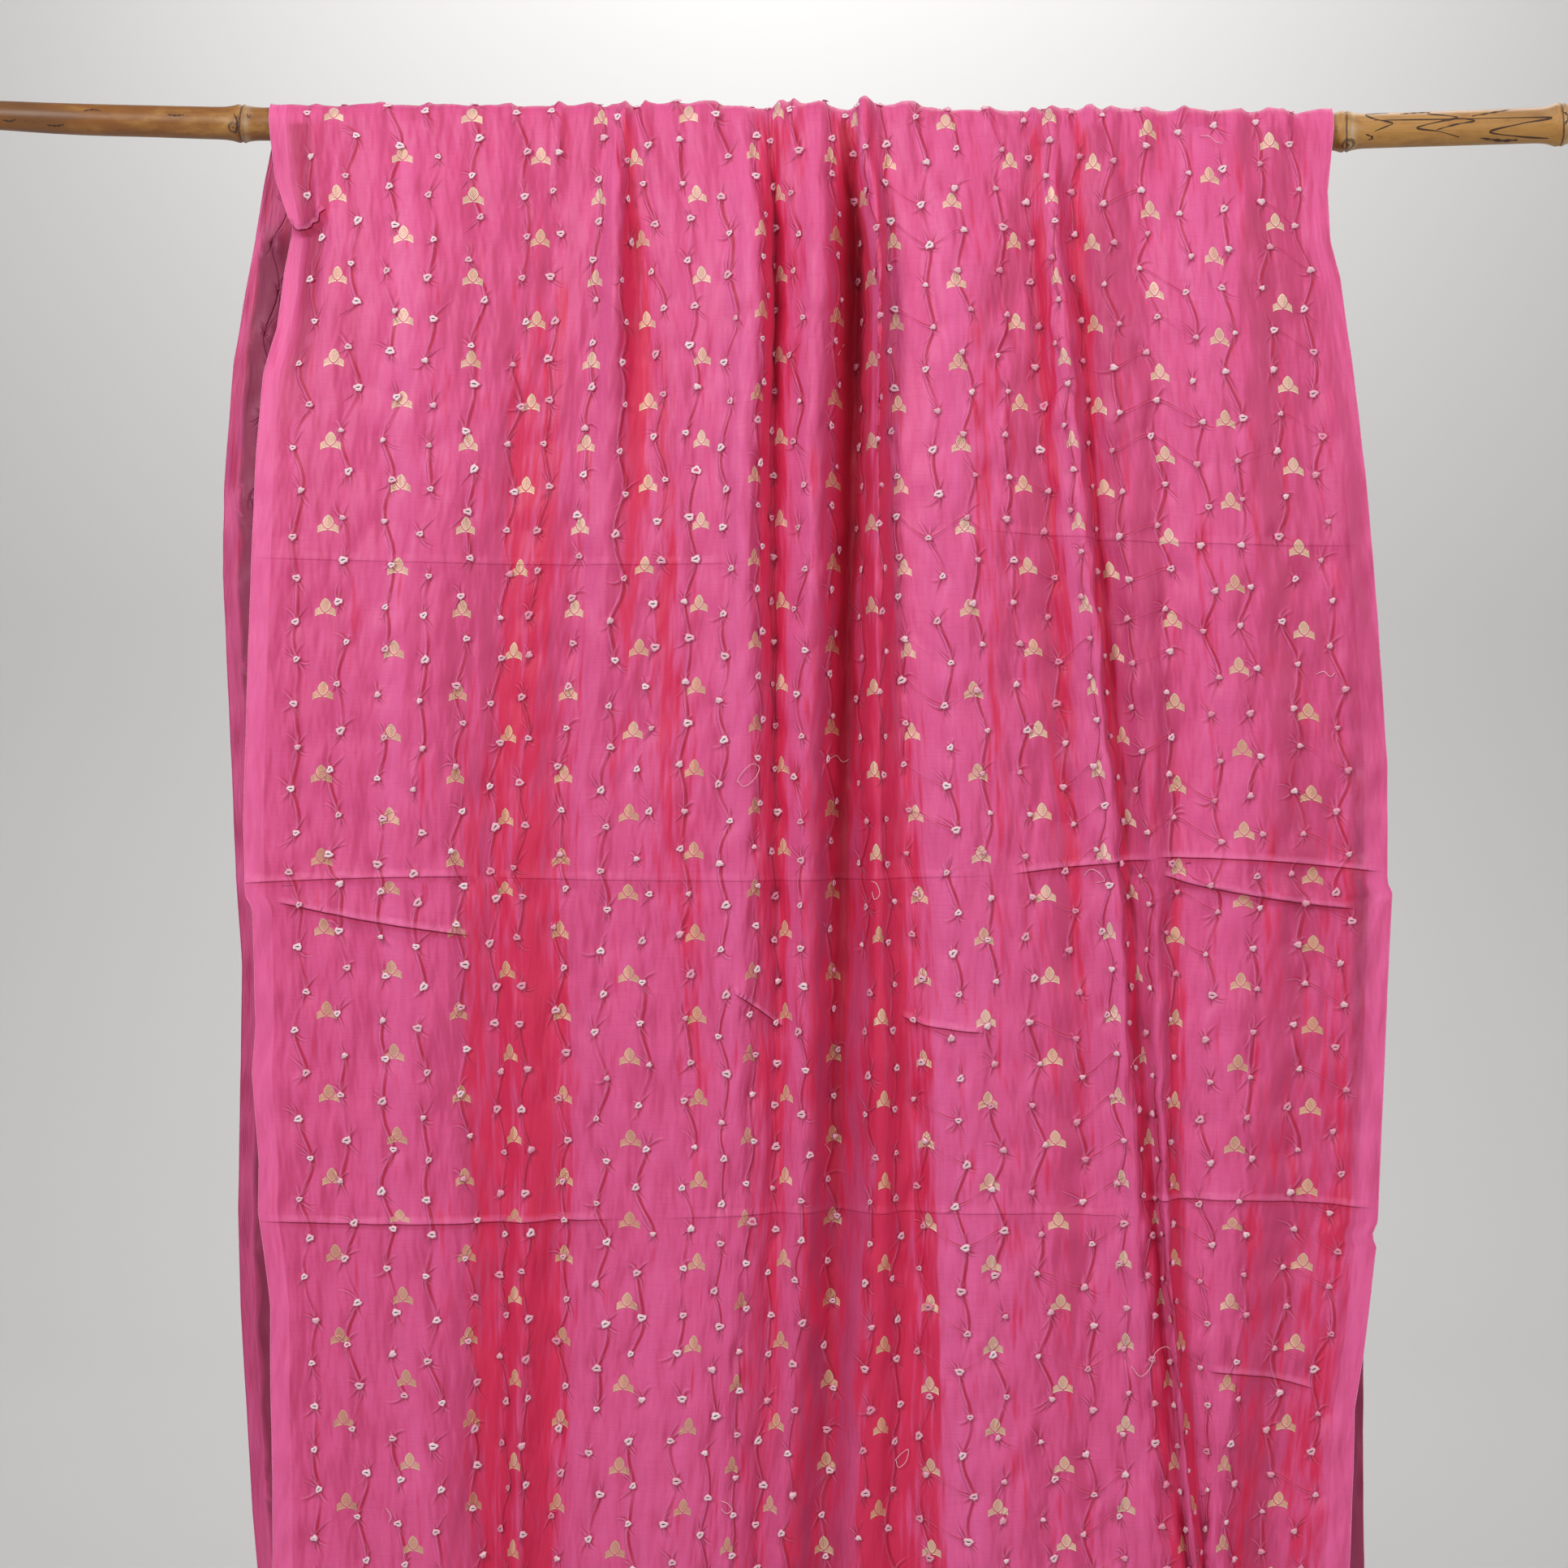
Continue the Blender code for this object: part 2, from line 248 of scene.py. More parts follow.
FRONT_FOLDS = (
    Fold("rolled border", 0.0, 0.0, 0.55, (-15, -4, 0, 0, 0)),
    Fold("left swell", 2.0, 2.2, 1.0, (3, 4, 5, 5, 6)),
    Fold("left valley", 4.3, 3.3, 0.5, (-3, -6, -8, -10, -14)),
    Fold("left rib", 4.6, 4.1, 0.35, (0, 4, 5, 6, 9)),
    Fold("band valley", 4.9, 4.8, 0.4, (0, -4, -9, -10, -14)),
    Fold("crease ridge", 5.45, 5.6, 0.3, (13, 8, 3, 0, 0)),
    Fold("crease valley", 5.8, 6.0, 0.3, (-11, -5, 0, 0, 0)),
    Fold("middle swell", 6.8, 6.6, 0.8, (3, 4, 6, 6, 8)),
    Fold("step ridge", 7.85, 7.6, 0.4, (13, 15, 10, 6, 3)),
    Fold("step valley", 8.75, 8.9, 0.4, (-12, -14, -13, -10, -10)),
    Fold("rib", 9.7, 9.35, 0.35, (14, 14, 9, 6, 6)),
    Fold("deep valley", 10.6, 9.9, 0.42, (-22, -32, -30, -24, -16)),
    Fold("pleat ridge", 11.45, 10.6, 0.35, (20, 22, 14, 10, 8)),
    Fold("pleat slope", 12.0, 11.5, 0.4, (0, -4, -8, -12, -12)),
    Fold("right swell", 12.9, 12.5, 0.7, (6, 8, 8, 8, 10)),
    Fold("shoulder valley", 14.4, 14.2, 0.5, (-6, -8, -5, -4, -4)),
    Fold("shoulder ridge", 15.0, 15.3, 0.4, (8, 10, 10, 8, 5)),
    Fold("pleat shade", 15.6, 16.2, 0.35, (-8, -11, -10, -8, -5)),
    Fold("narrow pleat", 16.2, 16.8, 0.3, (3, 6, 9, 10, 10)),
    Fold("narrow valley", 16.8, 17.4, 0.35, (-3, -4, -5, -7, -10)),
    Fold("right panel", 17.9, 18.0, 0.6, (3, 3, 3, 4, 6)),
    Fold("right valley", 19.0, 18.6, 0.5, (-2, -3, -3, -6, -14)),
    Fold("right border", 20.0, 20.0, 0.5, (0, 2, 3, 5, 6)),
)
BACK_FOLDS = (
    Fold("left border", 0.3, 0.4, 0.7, (-3, -4, 2, 4, 5)),
    Fold("first ridge", 2.1, 1.9, 0.7, (6, 10, 12, 12, 13)),
    Fold("first valley", 3.3, 3.2, 0.5, (-7, -10, -11, -12, -12)),
    Fold("second ridge", 4.6, 4.5, 0.6, (9, 12, 13, 12, 10)),
    Fold("second valley", 5.7, 5.8, 0.5, (-10, -14, -13, -12, -14)),
    Fold("third ridge", 7.0, 7.2, 0.6, (8, 11, 12, 14, 15)),
    Fold("third valley", 8.3, 8.4, 0.5, (-10, -13, -15, -14, -13)),
    Fold("middle ridge", 9.6, 9.9, 0.6, (12, 15, 16, 15, 14)),
    Fold("middle valley", 10.9, 11.3, 0.5, (-14, -20, -19, -17, -15)),
    Fold("fourth ridge", 12.2, 12.6, 0.6, (12, 14, 12, 12, 13)),
    Fold("fourth valley", 13.7, 13.9, 0.5, (-8, -11, -12, -14, -15)),
    Fold("fifth ridge", 15.0, 15.2, 0.6, (8, 12, 14, 14, 13)),
    Fold("fifth valley", 16.3, 16.5, 0.5, (-8, -11, -12, -12, -12)),
    Fold("last ridge", 17.7, 17.8, 0.7, (6, 9, 11, 12, 12)),
    Fold("right border", 19.5, 19.4, 0.6, (-4, -6, -5, -4, -5)),
)

# Where the crimson of the shot silk shows through the pink, as folds whose depths are shares of
# colour. Much of it is painted shade: crimson laid in the valleys and on the fold sides that
# turn away from the light.
CRIMSON_AND_SHADE_BANDS = (
    Fold("band", 4.3, 3.9, 0.55, (0.15, 0.8, 0.95, 0.95, 1)),
    Fold("wide band", 3.75, 3.7, 0.65, (0, 0, 0.4, 0.95, 1)),
    Fold("band's right side", 4.9, 4.65, 0.5, (0, 0.25, 0.65, 0.95, 1)),
    Fold("crease valley", 5.85, 6.1, 0.26, (0.9, 0.75, 0.2, 0, 0)),
    Fold("swell's shade", 5.9, 7.6, 0.3, (0.3, 0.7, 0.75, 0.25, 0.1)),
    Fold("step valley", 8.75, 8.95, 0.62, (1, 1, 0.9, 0.6, 0.45)),
    Fold("deep valley", 10.7, 10.0, 0.55, (1, 1, 0.85, 0.6, 0.5)),
    Fold("pleat slope", 11.0, 10.95, 0.75, (0.4, 0.9, 1, 1, 1)),
    Fold("pleat's right side", 11.6, 11.75, 0.6, (0, 0.3, 0.7, 1, 1)),
    Fold("corner panel", 0.5, 0.5, 0.16, (0.3, 0, 0, 0, 0)),
    Fold("shoulder", 14.7, 14.1, 0.28, (0.8, 0.8, 0.65, 0.4, 0.2)),
    Fold("right swell's shade", 13.5, 13.4, 0.3, (0.2, 0.4, 0.35, 0.2, 0.2)),
    Fold("pleat shade", 15.7, 16.0, 0.4, (0.6, 0.8, 0.75, 0.7, 0.6)),
    Fold("narrow valley", 17.0, 17.0, 0.3, (0, 0, 0.25, 0.8, 0.95)),
    Fold("right panel's shade", 17.4, 17.6, 0.25, (0.2, 0.45, 0.4, 0.2, 0.1)),
    Fold("right valley", 18.7, 18.55, 0.4, (0, 0.1, 0.2, 0.35, 0.5)),
    Fold("border's shade", 19.4, 19.3, 0.35, (0, 0.1, 0.35, 0.8, 0.6)),
)
# Painted shade: where a fold is so deep that its silk is painted maroon.
DEEP_SHADE = (
    Fold("deep valley", 10.55, 9.9, 0.25, (1, 1, 0.8, 0.45, 0.25)),
    Fold("right valley", 18.7, 18.6, 0.3, (0, 0, 0, 0.2, 0.4)),
)
# Where the front catches more light.
LIGHT_BANDS = (
    Fold("left swell", 2.0, 2.1, 0.3, (0.7, 0.9, 0.8, 0.5, 0.3)),
    Fold("middle swell", 6.9, 6.7, 0.6, (0.2, 0.2, 0.2, 0.4, 0.9)),
    Fold("step ridge", 7.9, 7.8, 0.35, (0.6, 0.8, 0.8, 0.6, 0.5)),
    Fold("rib", 9.7, 9.3, 0.3, (0.4, 0.6, 0.5, 0.4, 0.3)),
    Fold("pleat ridge", 11.2, 10.9, 0.2, (0.9, 0.6, 0.2, 0.0, 0.0)),
    Fold("right swell", 12.9, 12.7, 0.9, (0.6, 0.8, 0.7, 0.9, 0.8)),
    Fold("shoulder", 15.25, 15.3, 0.3, (0.6, 0.8, 0.8, 0.6, 0.3)),
    Fold("right panel", 17.8, 17.8, 0.5, (0.7, 0.5, 0.5, 0.3, 0.2)),
)
# Painted shade: where the front is painted darker, on top of the shade that its lamps give it.
PAINTED_SHADE_BANDS = (
    Fold("corner panel", 0.5, 0.5, 0.2, (0.9, 0, 0, 0, 0)),
    Fold("middle valley", 10.4, 9.75, 0.85, (0.3, 0.5, 1, 1, 1)),
    Fold("shoulder valley", 14.4, 14.2, 0.3, (0.4, 0.6, 0.5, 0.3, 0.2)),
    Fold("pleat shade", 16.0, 16.3, 0.35, (0.4, 0.6, 0.6, 0.5, 0.5)),
    Fold("right panel", 18.9, 18.7, 0.6, (0.35, 0.4, 0.45, 0.4, 0.7)),
    Fold("right border", 19.8, 19.8, 0.3, (0.0, 0.5, 0.4, 0.0, 0.0)),
)


@dataclass(frozen=True)
class Route:
    """An edge of the cloth as (drop, x) points, both in mm."""

    points: tuple[tuple[float, float], ...]

    def x(self, drop: Array) -> Array:
        """Where the edge hangs at these drops."""
        drops, places = zip(*self.points)
        return np.interp(drop, drops, places)


LEFT_EDGE = Route((
    (0, -421), (46, -416), (76, -406), (84, -402), (122, -409), (169, -414), (206, -424),
    (273, -428), (400, -433), (569, -438), (630, -436), (640, -430), (734, -428), (773, -431),
    (846, -425), (886, -426), (900, -424), (920, -421), (962, -416), (1035, -416), (1100, -414.5),
    (1240, -415),
))
BACK_LEFT_EDGE = Route((
    (0, -421), (30, -427), (55, -432), (75, -436), (117, -444), (191, -457), (299, -466),
    (366, -467), (617, -457), (691, -452), (894, -455), (975, -453), (1144, -443), (1240, -434),
))
RIGHT_EDGE = Route((
    (0, 449), (54, 443), (95, 444), (127, 452), (210, 462), (292, 471), (400, 480), (522, 488),
    (618, 488), (627, 492), (708, 488), (893, 480), (905, 475), (912, 479), (1000, 469),
    (1045, 462), (1120, 460), (1240, 456),
))


@dataclass(frozen=True)
class Tuck:
    """A pressed line across the hanging cloth, or the lip of a fold that lies over itself.

    Attributes:
        start: (place, drop) of its left end.
        end: (place, drop) of its right end.
        sag: how far its middle hangs below the straight line, in mm.
        height: how far it stands out, in mm.
        above: width of its slope above the line, in mm.
        below: width of its slope below the line, in mm.
    """

    start: tuple[float, float]
    end: tuple[float, float]
    sag: float
    height: float
    above: float
    below: float

    def line(self, place: Array, drop: Array) -> tuple[Array, Array]:
        """How far below the tuck's line these points lie, in mm, and how much of it is there."""
        share = (place - self.start[0]) / (self.end[0] - self.start[0])
        line = blend(self.start[1], self.end[1], share) + self.sag * 4 * share * (1 - share)
        inside = ease(share / 0.12) * ease((1 - share) / 0.12) * ease((LAST_COLUMN + 0.1 - place) / 0.5)
        return drop - line, inside

    def relief(self, place: Array, drop: Array) -> Array:
        """How far the tuck stands out at these places and drops, in mm."""
        off, inside = self.line(place, drop)
        slope = np.where(off < 0, self.above, self.below)
        return self.height * inside * np.exp(-np.abs(off) / slope)


TUCKS = (
    Tuck((-0.15, 74), (0.85, 70), 18, 9.0, 34, 2.0),
    Tuck((-0.2, 356), (8.0, 360), 3, 0.7, 5, 3.0),
    Tuck((-0.2, 620), (3.4, 614), -2, 1.5, 6, 4.0),
    Tuck((0.3, 634), (3.3, 662), 3, 3.2, 9, 2.5),
    Tuck((3.4, 614), (13.5, 612), 4, 0.8, 5, 3.5),
    Tuck((13.4, 612), (16.6, 600), -3, 2.2, 7, 3.0),
    Tuck((16.5, 598), (20.1, 611), -4, 2.4, 10, 3.0),
    Tuck((16.6, 611), (19.6, 640), 3, 5.0, 22, 2.5),
    Tuck((-0.2, 893), (6.0, 891), 3, 1.8, 7, 3.5),
    Tuck((6.0, 891), (15.6, 889), -4, 0.9, 6, 3.5),
    Tuck((15.4, 878), (20.2, 883), -5, 1.6, 8, 3.0),
    Tuck((7.6, 707), (9.0, 737), 2, 2.4, 5, 2.5),
    Tuck((11.5, 727), (13.0, 740), 2, 2.0, 5, 2.5),
    Tuck((17.6, 1015), (19.4, 1030), -3, 1.8, 7, 3.0),
    Tuck((13.0, 332), (20.1, 345), 3, 0.7, 5, 3.0),
)


@dataclass(frozen=True)
class Ruffle:
    """A small peak of the cloth on the pole, which dies away down the front."""

    x: float
    height: float
    half_width: float
    lean: float = 0.0


RUFFLES = (
    Ruffle(-384, 1.6, 4, 0.1), Ruffle(-330, 1.5, 5), Ruffle(-292, 2.0, 4, -0.2),
    Ruffle(-226, 2.2, 4, 0.3), Ruffle(-184, 3.0, 4), Ruffle(-158, 2.4, 7), Ruffle(-131, 3.0, 5),
    Ruffle(-113, 3.6, 4, 0.2), Ruffle(-90, 2.0, 5), Ruffle(-67, 2.0, 6), Ruffle(-57, 2.6, 4),
    Ruffle(-2, 4.6, 6, 0.1), Ruffle(9, 4.0, 4), Ruffle(31, 3.0, 7), Ruffle(67, 5.0, 6),
    Ruffle(99, 2.5, 6), Ruffle(107, 2.0, 4, 0.3), Ruffle(168, 2.2, 4, 0.4),
    Ruffle(205, 2.8, 4, -0.3), Ruffle(220, 2.6, 5), Ruffle(232, 2.0, 5), Ruffle(252, 3.0, 5, 0.3),
    Ruffle(268, 2.0, 4), Ruffle(296, 2.0, 8), Ruffle(328, 2.2, 4), Ruffle(374, 2.0, 4),
    Ruffle(399, 3.0, 7), Ruffle(410, 2.4, 4, 0.3),
)


@dataclass(frozen=True)
class Station:
    """The bare bamboo at one place along the pole, in mm."""

    x: float
    axis_height: float
    diameter: float


@dataclass(frozen=True)
class BambooNode:
    """A node of the bamboo: where it is, and how far it swells, in mm."""

    x: float
    swelling: float


@dataclass
class BambooShape:
    """The outline of the bamboo, as the solid model has it, in mm."""

    stations: tuple[Station, ...] = (
        Station(-668, 12.0, 22.8),
        Station(-584, 7.9, 25.4),
        Station(-522, 6.1, 25.8),
        Station(-446, 4.2, 26.6),
        Station(-311, 2.3, 27.4),
        Station(0, 0.0, 28.0),
        Station(290, -2.0, 28.2),
        Station(463, -2.3, 28.3),
        Station(530, -0.3, 28.4),
        Station(596, 1.9, 28.6),
        Station(637, 3.3, 29.0),
        Station(668, 4.6, 29.4),
    )
    nodes: tuple[BambooNode, ...] = (
        BambooNode(-446, 1.9),
        BambooNode(-264, 1.7),
        BambooNode(-84, 1.7),
        BambooNode(97, 1.8),
        BambooNode(278, 1.8),
        BambooNode(460, 2.3),
        BambooNode(637, 2.8),
    )
    node_half_width: float = 9.0

    def _along(self, measure: str, x: Array) -> Array:
        """One measure of the stations at these places along the pole."""
        places, values = zip(*((stop.x, getattr(stop, measure)) for stop in self.stations))
        return smooth_curve(places, values, x)

    def axis_height(self, x: Array) -> Array:
        """Height of the bamboo's axis."""
        return self._along("axis_height", x)

    def radius(self, x: Array) -> Array:
        """Radius of the culm with the swelling of the nodes near x."""
        radius = self._along("diameter", x) / 2
        for node in self.nodes:
            radius = radius + node.swelling * bell((x - node.x) / self.node_half_width)
        return radius


@dataclass
class Drape:
    """The upright folds in which the whole cloth hangs, without its knots and puckers."""

    pole: BambooShape
    width: float = CLOTH_WIDTH
    front_fall: float = 1222.0
    back_fall: float = 1205.0
    over_pole: float = 48.7
    seat_gap: float = 1.9
    seat_reach: float = 18.0
    ridge_over_pole: float = 0.3
    hem_slant: float = 9.0
    hem_wave: float = 4.0
    hem_waves: float = 3.3
    hem_reach: float = 160.0
    near_pole: float = 30.0
    axis_follow: float = 290.0
    tucked: tuple[tuple[float, float], ...] = ((608, 10.6), (890, 5.0))
    slip_columns: tuple[float, ...] = (0, 4, 7, 8, 10, 12, 14, 15, 16, 17, 18, 20)
    slips: tuple[float, ...] = (0, 2, 1, -3, 0, 5, 3, 0, 4, 10, 15, 24)

    def place(self, across: Array) -> Array:
        """The sprig column, from 0 to 20, at these distances from the left edge of the flat cloth."""
        inner = BORDER + SPRIG_PITCH * np.arange(LAST_COLUMN - 1)
        marks = np.concatenate([[0], inner, [self.width]])
        return np.interp(across, marks, np.arange(LAST_COLUMN + 1))

    def drift(self, place: Array, along: Array) -> Array:
        """How far the cloth has slipped forward over the pole, towards its right side."""
        slip = smooth_curve(self.slip_columns, self.slips, place)
        far = np.where(along > 0, along / self.front_fall, -along / (self.back_fall + self.over_pole))
        return slip * (1 - np.clip(far, 0, 1) ** 2)

    def slack(self, place: Array, along: Array) -> Array:
        """How much cloth of the front fall is taken up in the tucks pressed across it."""
        side = ease((7 - place) / 3) + ease((place - 14) / 3)
        taken = sum(depth * ease((along - drop) / 25) for drop, depth in self.tucked)
        return side * taken + (1 - side) * 0.01 * np.maximum(along, 0)

    def _seat(self, x: Array) -> Array:
        """Radius of the cloth on the pole, clear of the widest bamboo near x."""
        offsets = np.linspace(-self.seat_reach, self.seat_reach, 13)
        return np.max([self.pole.radius(x + offset) for offset in offsets], axis=0) + self.seat_gap

    def _front_x(self, place: Array, drop: Array) -> Array:
        """Where the front fall's cloth hangs, in mm right of the pole's middle."""
        table = np.array([column.x(drop) for column in FRONT_COLUMNS])
        slopes = np.gradient(table, axis=0)
        index = np.clip(np.floor(place).astype(int), 0, LAST_COLUMN - 1)
        here = np.arange(place.size)
        ends = (values[at, here] for values in (table, slopes) for at in (index, index + 1))
        x = hermite(*ends, place - index)
        x = x + (LEFT_EDGE.x(drop) - table[0]) * bell(place / 0.7)
        return x + (RIGHT_EDGE.x(drop) - table[-1]) * bell((place - LAST_COLUMN) / 0.7)

    def _back_x(self, place: Array, drop: Array) -> Array:
        """Where the back fall's cloth hangs."""
        left, right = (edge.x(drop) for edge in BACK_EDGES)
        spread = blend(left, right, place / LAST_COLUMN)
        at_pole = self._front_x(place, np.zeros_like(drop))
        share = smooth_curve((0, LEVEL_DROPS[2]), (0, 1), drop)
        x, edge = blend(at_pole, spread, share), blend(at_pole, left, share)
        return x + (BACK_LEFT_EDGE.x(drop) - edge) * bell(place / 0.9)

    def _fall(self, place: Array, drop: Array, side: int) -> Array:
        """Points of the front fall (side -1) or the back fall (side 1)."""
        front = side < 0
        folds = FRONT_FOLDS if front else BACK_FOLDS
        x = self._front_x(place, drop) if front else self._back_x(place, drop)
        stands = [level.front_stand if front else level.back_stand for level in LEVELS]
        near = bell(drop / self.near_pole)
        stand = smooth_curve(LEVEL_DROPS, stands, drop) + (self._seat(x) - stands[0]) * near
        shape = sum(fold.depth(place, drop) for fold in folds)
        over = self.ridge_over_pole * sum(fold.over_pole(place) for fold in folds)
        y = side * (stand + shape * (1 - near) + over * near)
        z = self.pole.axis_height(x) * np.exp(-drop / self.axis_follow) - drop
        fall = self.front_fall if front else self.back_fall
        share = place / LAST_COLUMN
        wave = self.hem_slant * (share - 0.5)
        wave = wave + self.hem_wave * np.sin(self.hem_waves * math.tau * share)
        z = z + wave * ease((drop - fall + self.hem_reach) / self.hem_reach)
        return np.stack([x, y, z], axis=1)

    def _over(self, place: Array, turn: Array) -> Array:
        """Points over the pole, where turn runs from 0, in front, to pi, behind."""
        x = self._front_x(place, np.zeros_like(turn))
        share = turn / math.pi
        front = sum(fold.over_pole(place) for fold in FRONT_FOLDS)
        back = sum(fold.over_pole(place) for fold in BACK_FOLDS)
        radius = self._seat(x) + self.ridge_over_pole * blend(front, back, share)
        height = self.pole.axis_height(x) + radius * np.sin(turn)
        return np.stack([x, -radius * np.cos(turn), height], axis=1)

    def hang(self, across: Array, along: Array) -> tuple[Array, Array, Array]:
        """Hang points of the flat cloth.

        Args:
            across: distance from the left edge, in mm.
            along: distance from the pole, down the front, or less than 0 over it and behind it.

        Returns:
            The points in mm, the sprig column of each, and its run along the hanging cloth.
        """
        place = self.place(across)
        run = along + self.drift(place, along) - self.slack(place, along)
        points = np.empty((run.size, 3))
        front = run >= 0
        back = run <= -self.over_pole
        over = ~front & ~back
        points[front] = self._fall(place[front], run[front], -1)
        points[back] = self._fall(place[back], -run[back] - self.over_pole, 1)
        points[over] = self._over(place[over], -run[over] / self.over_pole * math.pi)
        return points, place, run


@dataclass
class KnotStrings:
    """The tied knots on the flat cloth, string by string, and the grid of points laid on them.

    A grid line runs along each string and a grid row through each knot, and both stand closer
    together near the knots. The strings at both selvedges and the rows at both hems have no knots.
    """

    drape: Drape
    seed: int = 7
    strings: int = STRINGS
    rows: int = 71
    first: float = 36.0
    zigzag: float = 4.2
    scatter: float = 2.6
    bow: float = 3.2
    steps_across: int = 10
    steps_along: int = 8
    grading: float = 1.7

    def __post_init__(self) -> None:
        """Work out where each knot is tied, and how the cloth is pinched between them."""
        rng = np.random.default_rng(self.seed)
        self._tie(rng)
        self._pinch(rng)

    def _tie(self, rng: np.random.Generator) -> None:
        """Place the knots, with their strings carried on to the selvedges and the hems."""
        shape = (self.strings, self.rows)
        top = self.drape.front_fall
        bottom = -(self.drape.back_fall + self.drape.over_pole)
        self.pitch = (top - bottom) / (self.rows + 1)
        across = np.linspace(self.first, self.drape.width - self.first, self.strings)[:, None]
        across = across + rng.uniform(-3, 3, (self.strings, 1))
        sway = (-1.0) ** np.arange(self.rows)[None, :] * rng.uniform(0.3, 1.3, shape)
        across = across + self.zigzag * sway + rng.uniform(-1, 1, shape) * self.scatter
        phase = self.pitch * 0.27 * np.cos(np.arange(self.strings) * 2.3)[:, None]
        along = top - self.pitch * (1 + np.arange(self.rows))[None, :] + phase
        along = along + rng.uniform(-1, 1, shape) * self.scatter
        self.across = np.zeros((self.strings + 2, self.rows + 2))
        self.along = np.zeros_like(self.across)
        self.across[1:-1, 1:-1] = across
        self.along[1:-1, 1:-1] = along
        self.across[1:-1, 0] = across[:, 0]
        self.across[1:-1, -1] = across[:, -1]
        self.across[-1, :] = self.drape.width
        self.along[0, :] = self.along[1, :]
        self.along[-1, :] = self.along[-2, :]
        self.along[:, 0] = top
        self.along[:, -1] = bottom
        self.tied = np.zeros_like(self.across)
        self.tied[1:-1, 1:-1] = rng.uniform(0.75, 1.0, shape)
        self.chance = rng.uniform(0, 1, self.across.shape)

    def _pinch(self, rng: np.random.Generator) -> None:
        """Draw how far each stretch of string bends and pinches, and the lines across."""
        segments = (self.strings + 2, self.rows + 1)
        self.bend = rng.uniform(-1, 1, segments) * self.bow
        self.pinch = np.clip(rng.uniform(-0.25, 1.6, segments), 0, 1)
        self.pinch[[0, -1], :] = 0
        self.pinch[:, [0, -1]] *= 0.4
        self.top_heavy = rng.uniform(0, 1, segments)
        step = np.abs(np.diff(self.along, axis=0))
        chance = rng.uniform(-3.0, 1.4, (self.strings + 1, self.rows + 2))
        right = ease((np.arange(self.strings + 1) - 15) / 5)[:, None]
        self.cross = np.clip(chance + 0.8 * right, 0, 1) * ease((step - 9) / 6) * right
        self.cross[[0, -1], :] = 0
        self.cross[:, [0, -1]] = 0

    def _graded(self, steps: int, spans: int) -> tuple[Array, Array]:
        """The span and the share of it at each grid line, closer together at the span's ends."""
        even = np.arange(steps) / steps
        half = 0.5 * (2 * np.minimum(even, 1 - even)) ** self.grading
        shares = np.where(even < 0.5, half, 1 - half)
        span = np.append(np.repeat(np.arange(spans), steps), spans - 1)
        return span, np.append(np.tile(shares, spans), 1.0)

    def lay_grid(self) -> "FlatGrid":
        """Lay the grid of points on the flat cloth."""
        span, span_share = self._graded(self.steps_across, self.strings + 1)
        row, row_share = self._graded(self.steps_along, self.rows + 1)
        line_across = blend(self.across[:, row], self.across[:, row + 1], ease(row_share))
        line_across += self.bend[:, row] * np.sin(math.pi * row_share)
        line_across[0], line_across[-1] = 0.0, self.drape.width
        line_along = blend(self.along[:, row], self.along[:, row + 1], row_share)
        heavy = self.top_heavy[:, row]
        tension = 0.25 + 0.75 * blend((1 - row_share) ** 1.5, row_share**1.5, heavy)
        line_pinch = self.pinch[:, row] * tension

        share = span_share[None, :]
        across = blend(line_across[span].T, line_across[span + 1].T, share)
        along = blend(line_along[span].T, line_along[span + 1].T, ease(share))
        line_cross = self.cross[span[None, :], np.arange(self.rows + 2)[:, None]]
        fading = 0.3 + 0.7 * np.abs(1 - 2 * share)
        nearest = span + (span_share > 0.5)
        nearest_row = row + (row_share > 0.5)
        knot = (nearest[None, :], nearest_row[:, None])
        row_line = blend(self.along[span], self.along[span + 1], ease(span_share)[:, None]).T
        return FlatGrid(
            across=across,
            along=along,
            from_line=across - line_across[nearest].T,
            from_row=along - row_line[nearest_row],
            pinch=line_pinch[nearest].T,
            cross=line_cross[nearest_row] * fading,
            knot_across=across - self.across[knot],
            knot_along=along - self.along[knot],
            tied=self.tied[knot],
            chance=self.chance[knot],
            span_share=np.broadcast_to(share, across.shape),
            cell_across=np.broadcast_to((span + span_share)[None, :], across.shape),
            cell_along=np.broadcast_to((row + row_share)[:, None], across.shape),
        )


@dataclass
class FlatGrid:
    """The grid of points on the flat cloth: one row from selvedge to selvedge, front hem first."""

    across: Array
    along: Array
    from_line: Array
    from_row: Array
    pinch: Array
    cross: Array
    knot_across: Array
    knot_along: Array
    tied: Array
    chance: Array
    span_share: Array
    cell_across: Array
    cell_along: Array

    def relief(self) -> Array:
        """How far each point stands off the smooth drape, in mm."""
        radius = np.hypot(self.knot_across, self.knot_along)
        ridge = self.pinch * (1.3 * bell(self.from_line / 1.7) - 0.8 * bell(self.from_line / 7))
        ridge += self.cross * (1.3 * bell(self.from_row / 1.9) - 0.7 * bell(self.from_row / 6))
        nub = self.tied * (2.6 * bell(radius / 2.6) - 1.7 * bell(radius / 9))
        steep = np.abs(self.knot_along) / (radius + 1.0)
        rays = np.cos(7 * np.arctan2(self.knot_along, self.knot_across) + 40 * self.chance)
        puckers = 0.6 * self.tied * steep * rays * bell((radius - 3.4) / 2.2)
        billow = 0.8 * np.sin(math.pi * self.span_share) ** 2
        slow = 1.6 * SmoothField(11, 46, 95).at(self.across, self.along)
        streaks = 0.8 * SmoothField(12, 19, 150).at(self.across, self.along)
        crumple = 1.2 * SmoothField(13, 15, 24).at(self.across, self.along)
        crumple += 0.5 * SmoothField(14, 9, 30).at(self.across, self.along)
        crumple *= 1 + 0.8 * ease((self.across - 600) / 200)
        return ridge + nub + puckers + billow + slow + streaks + crumple


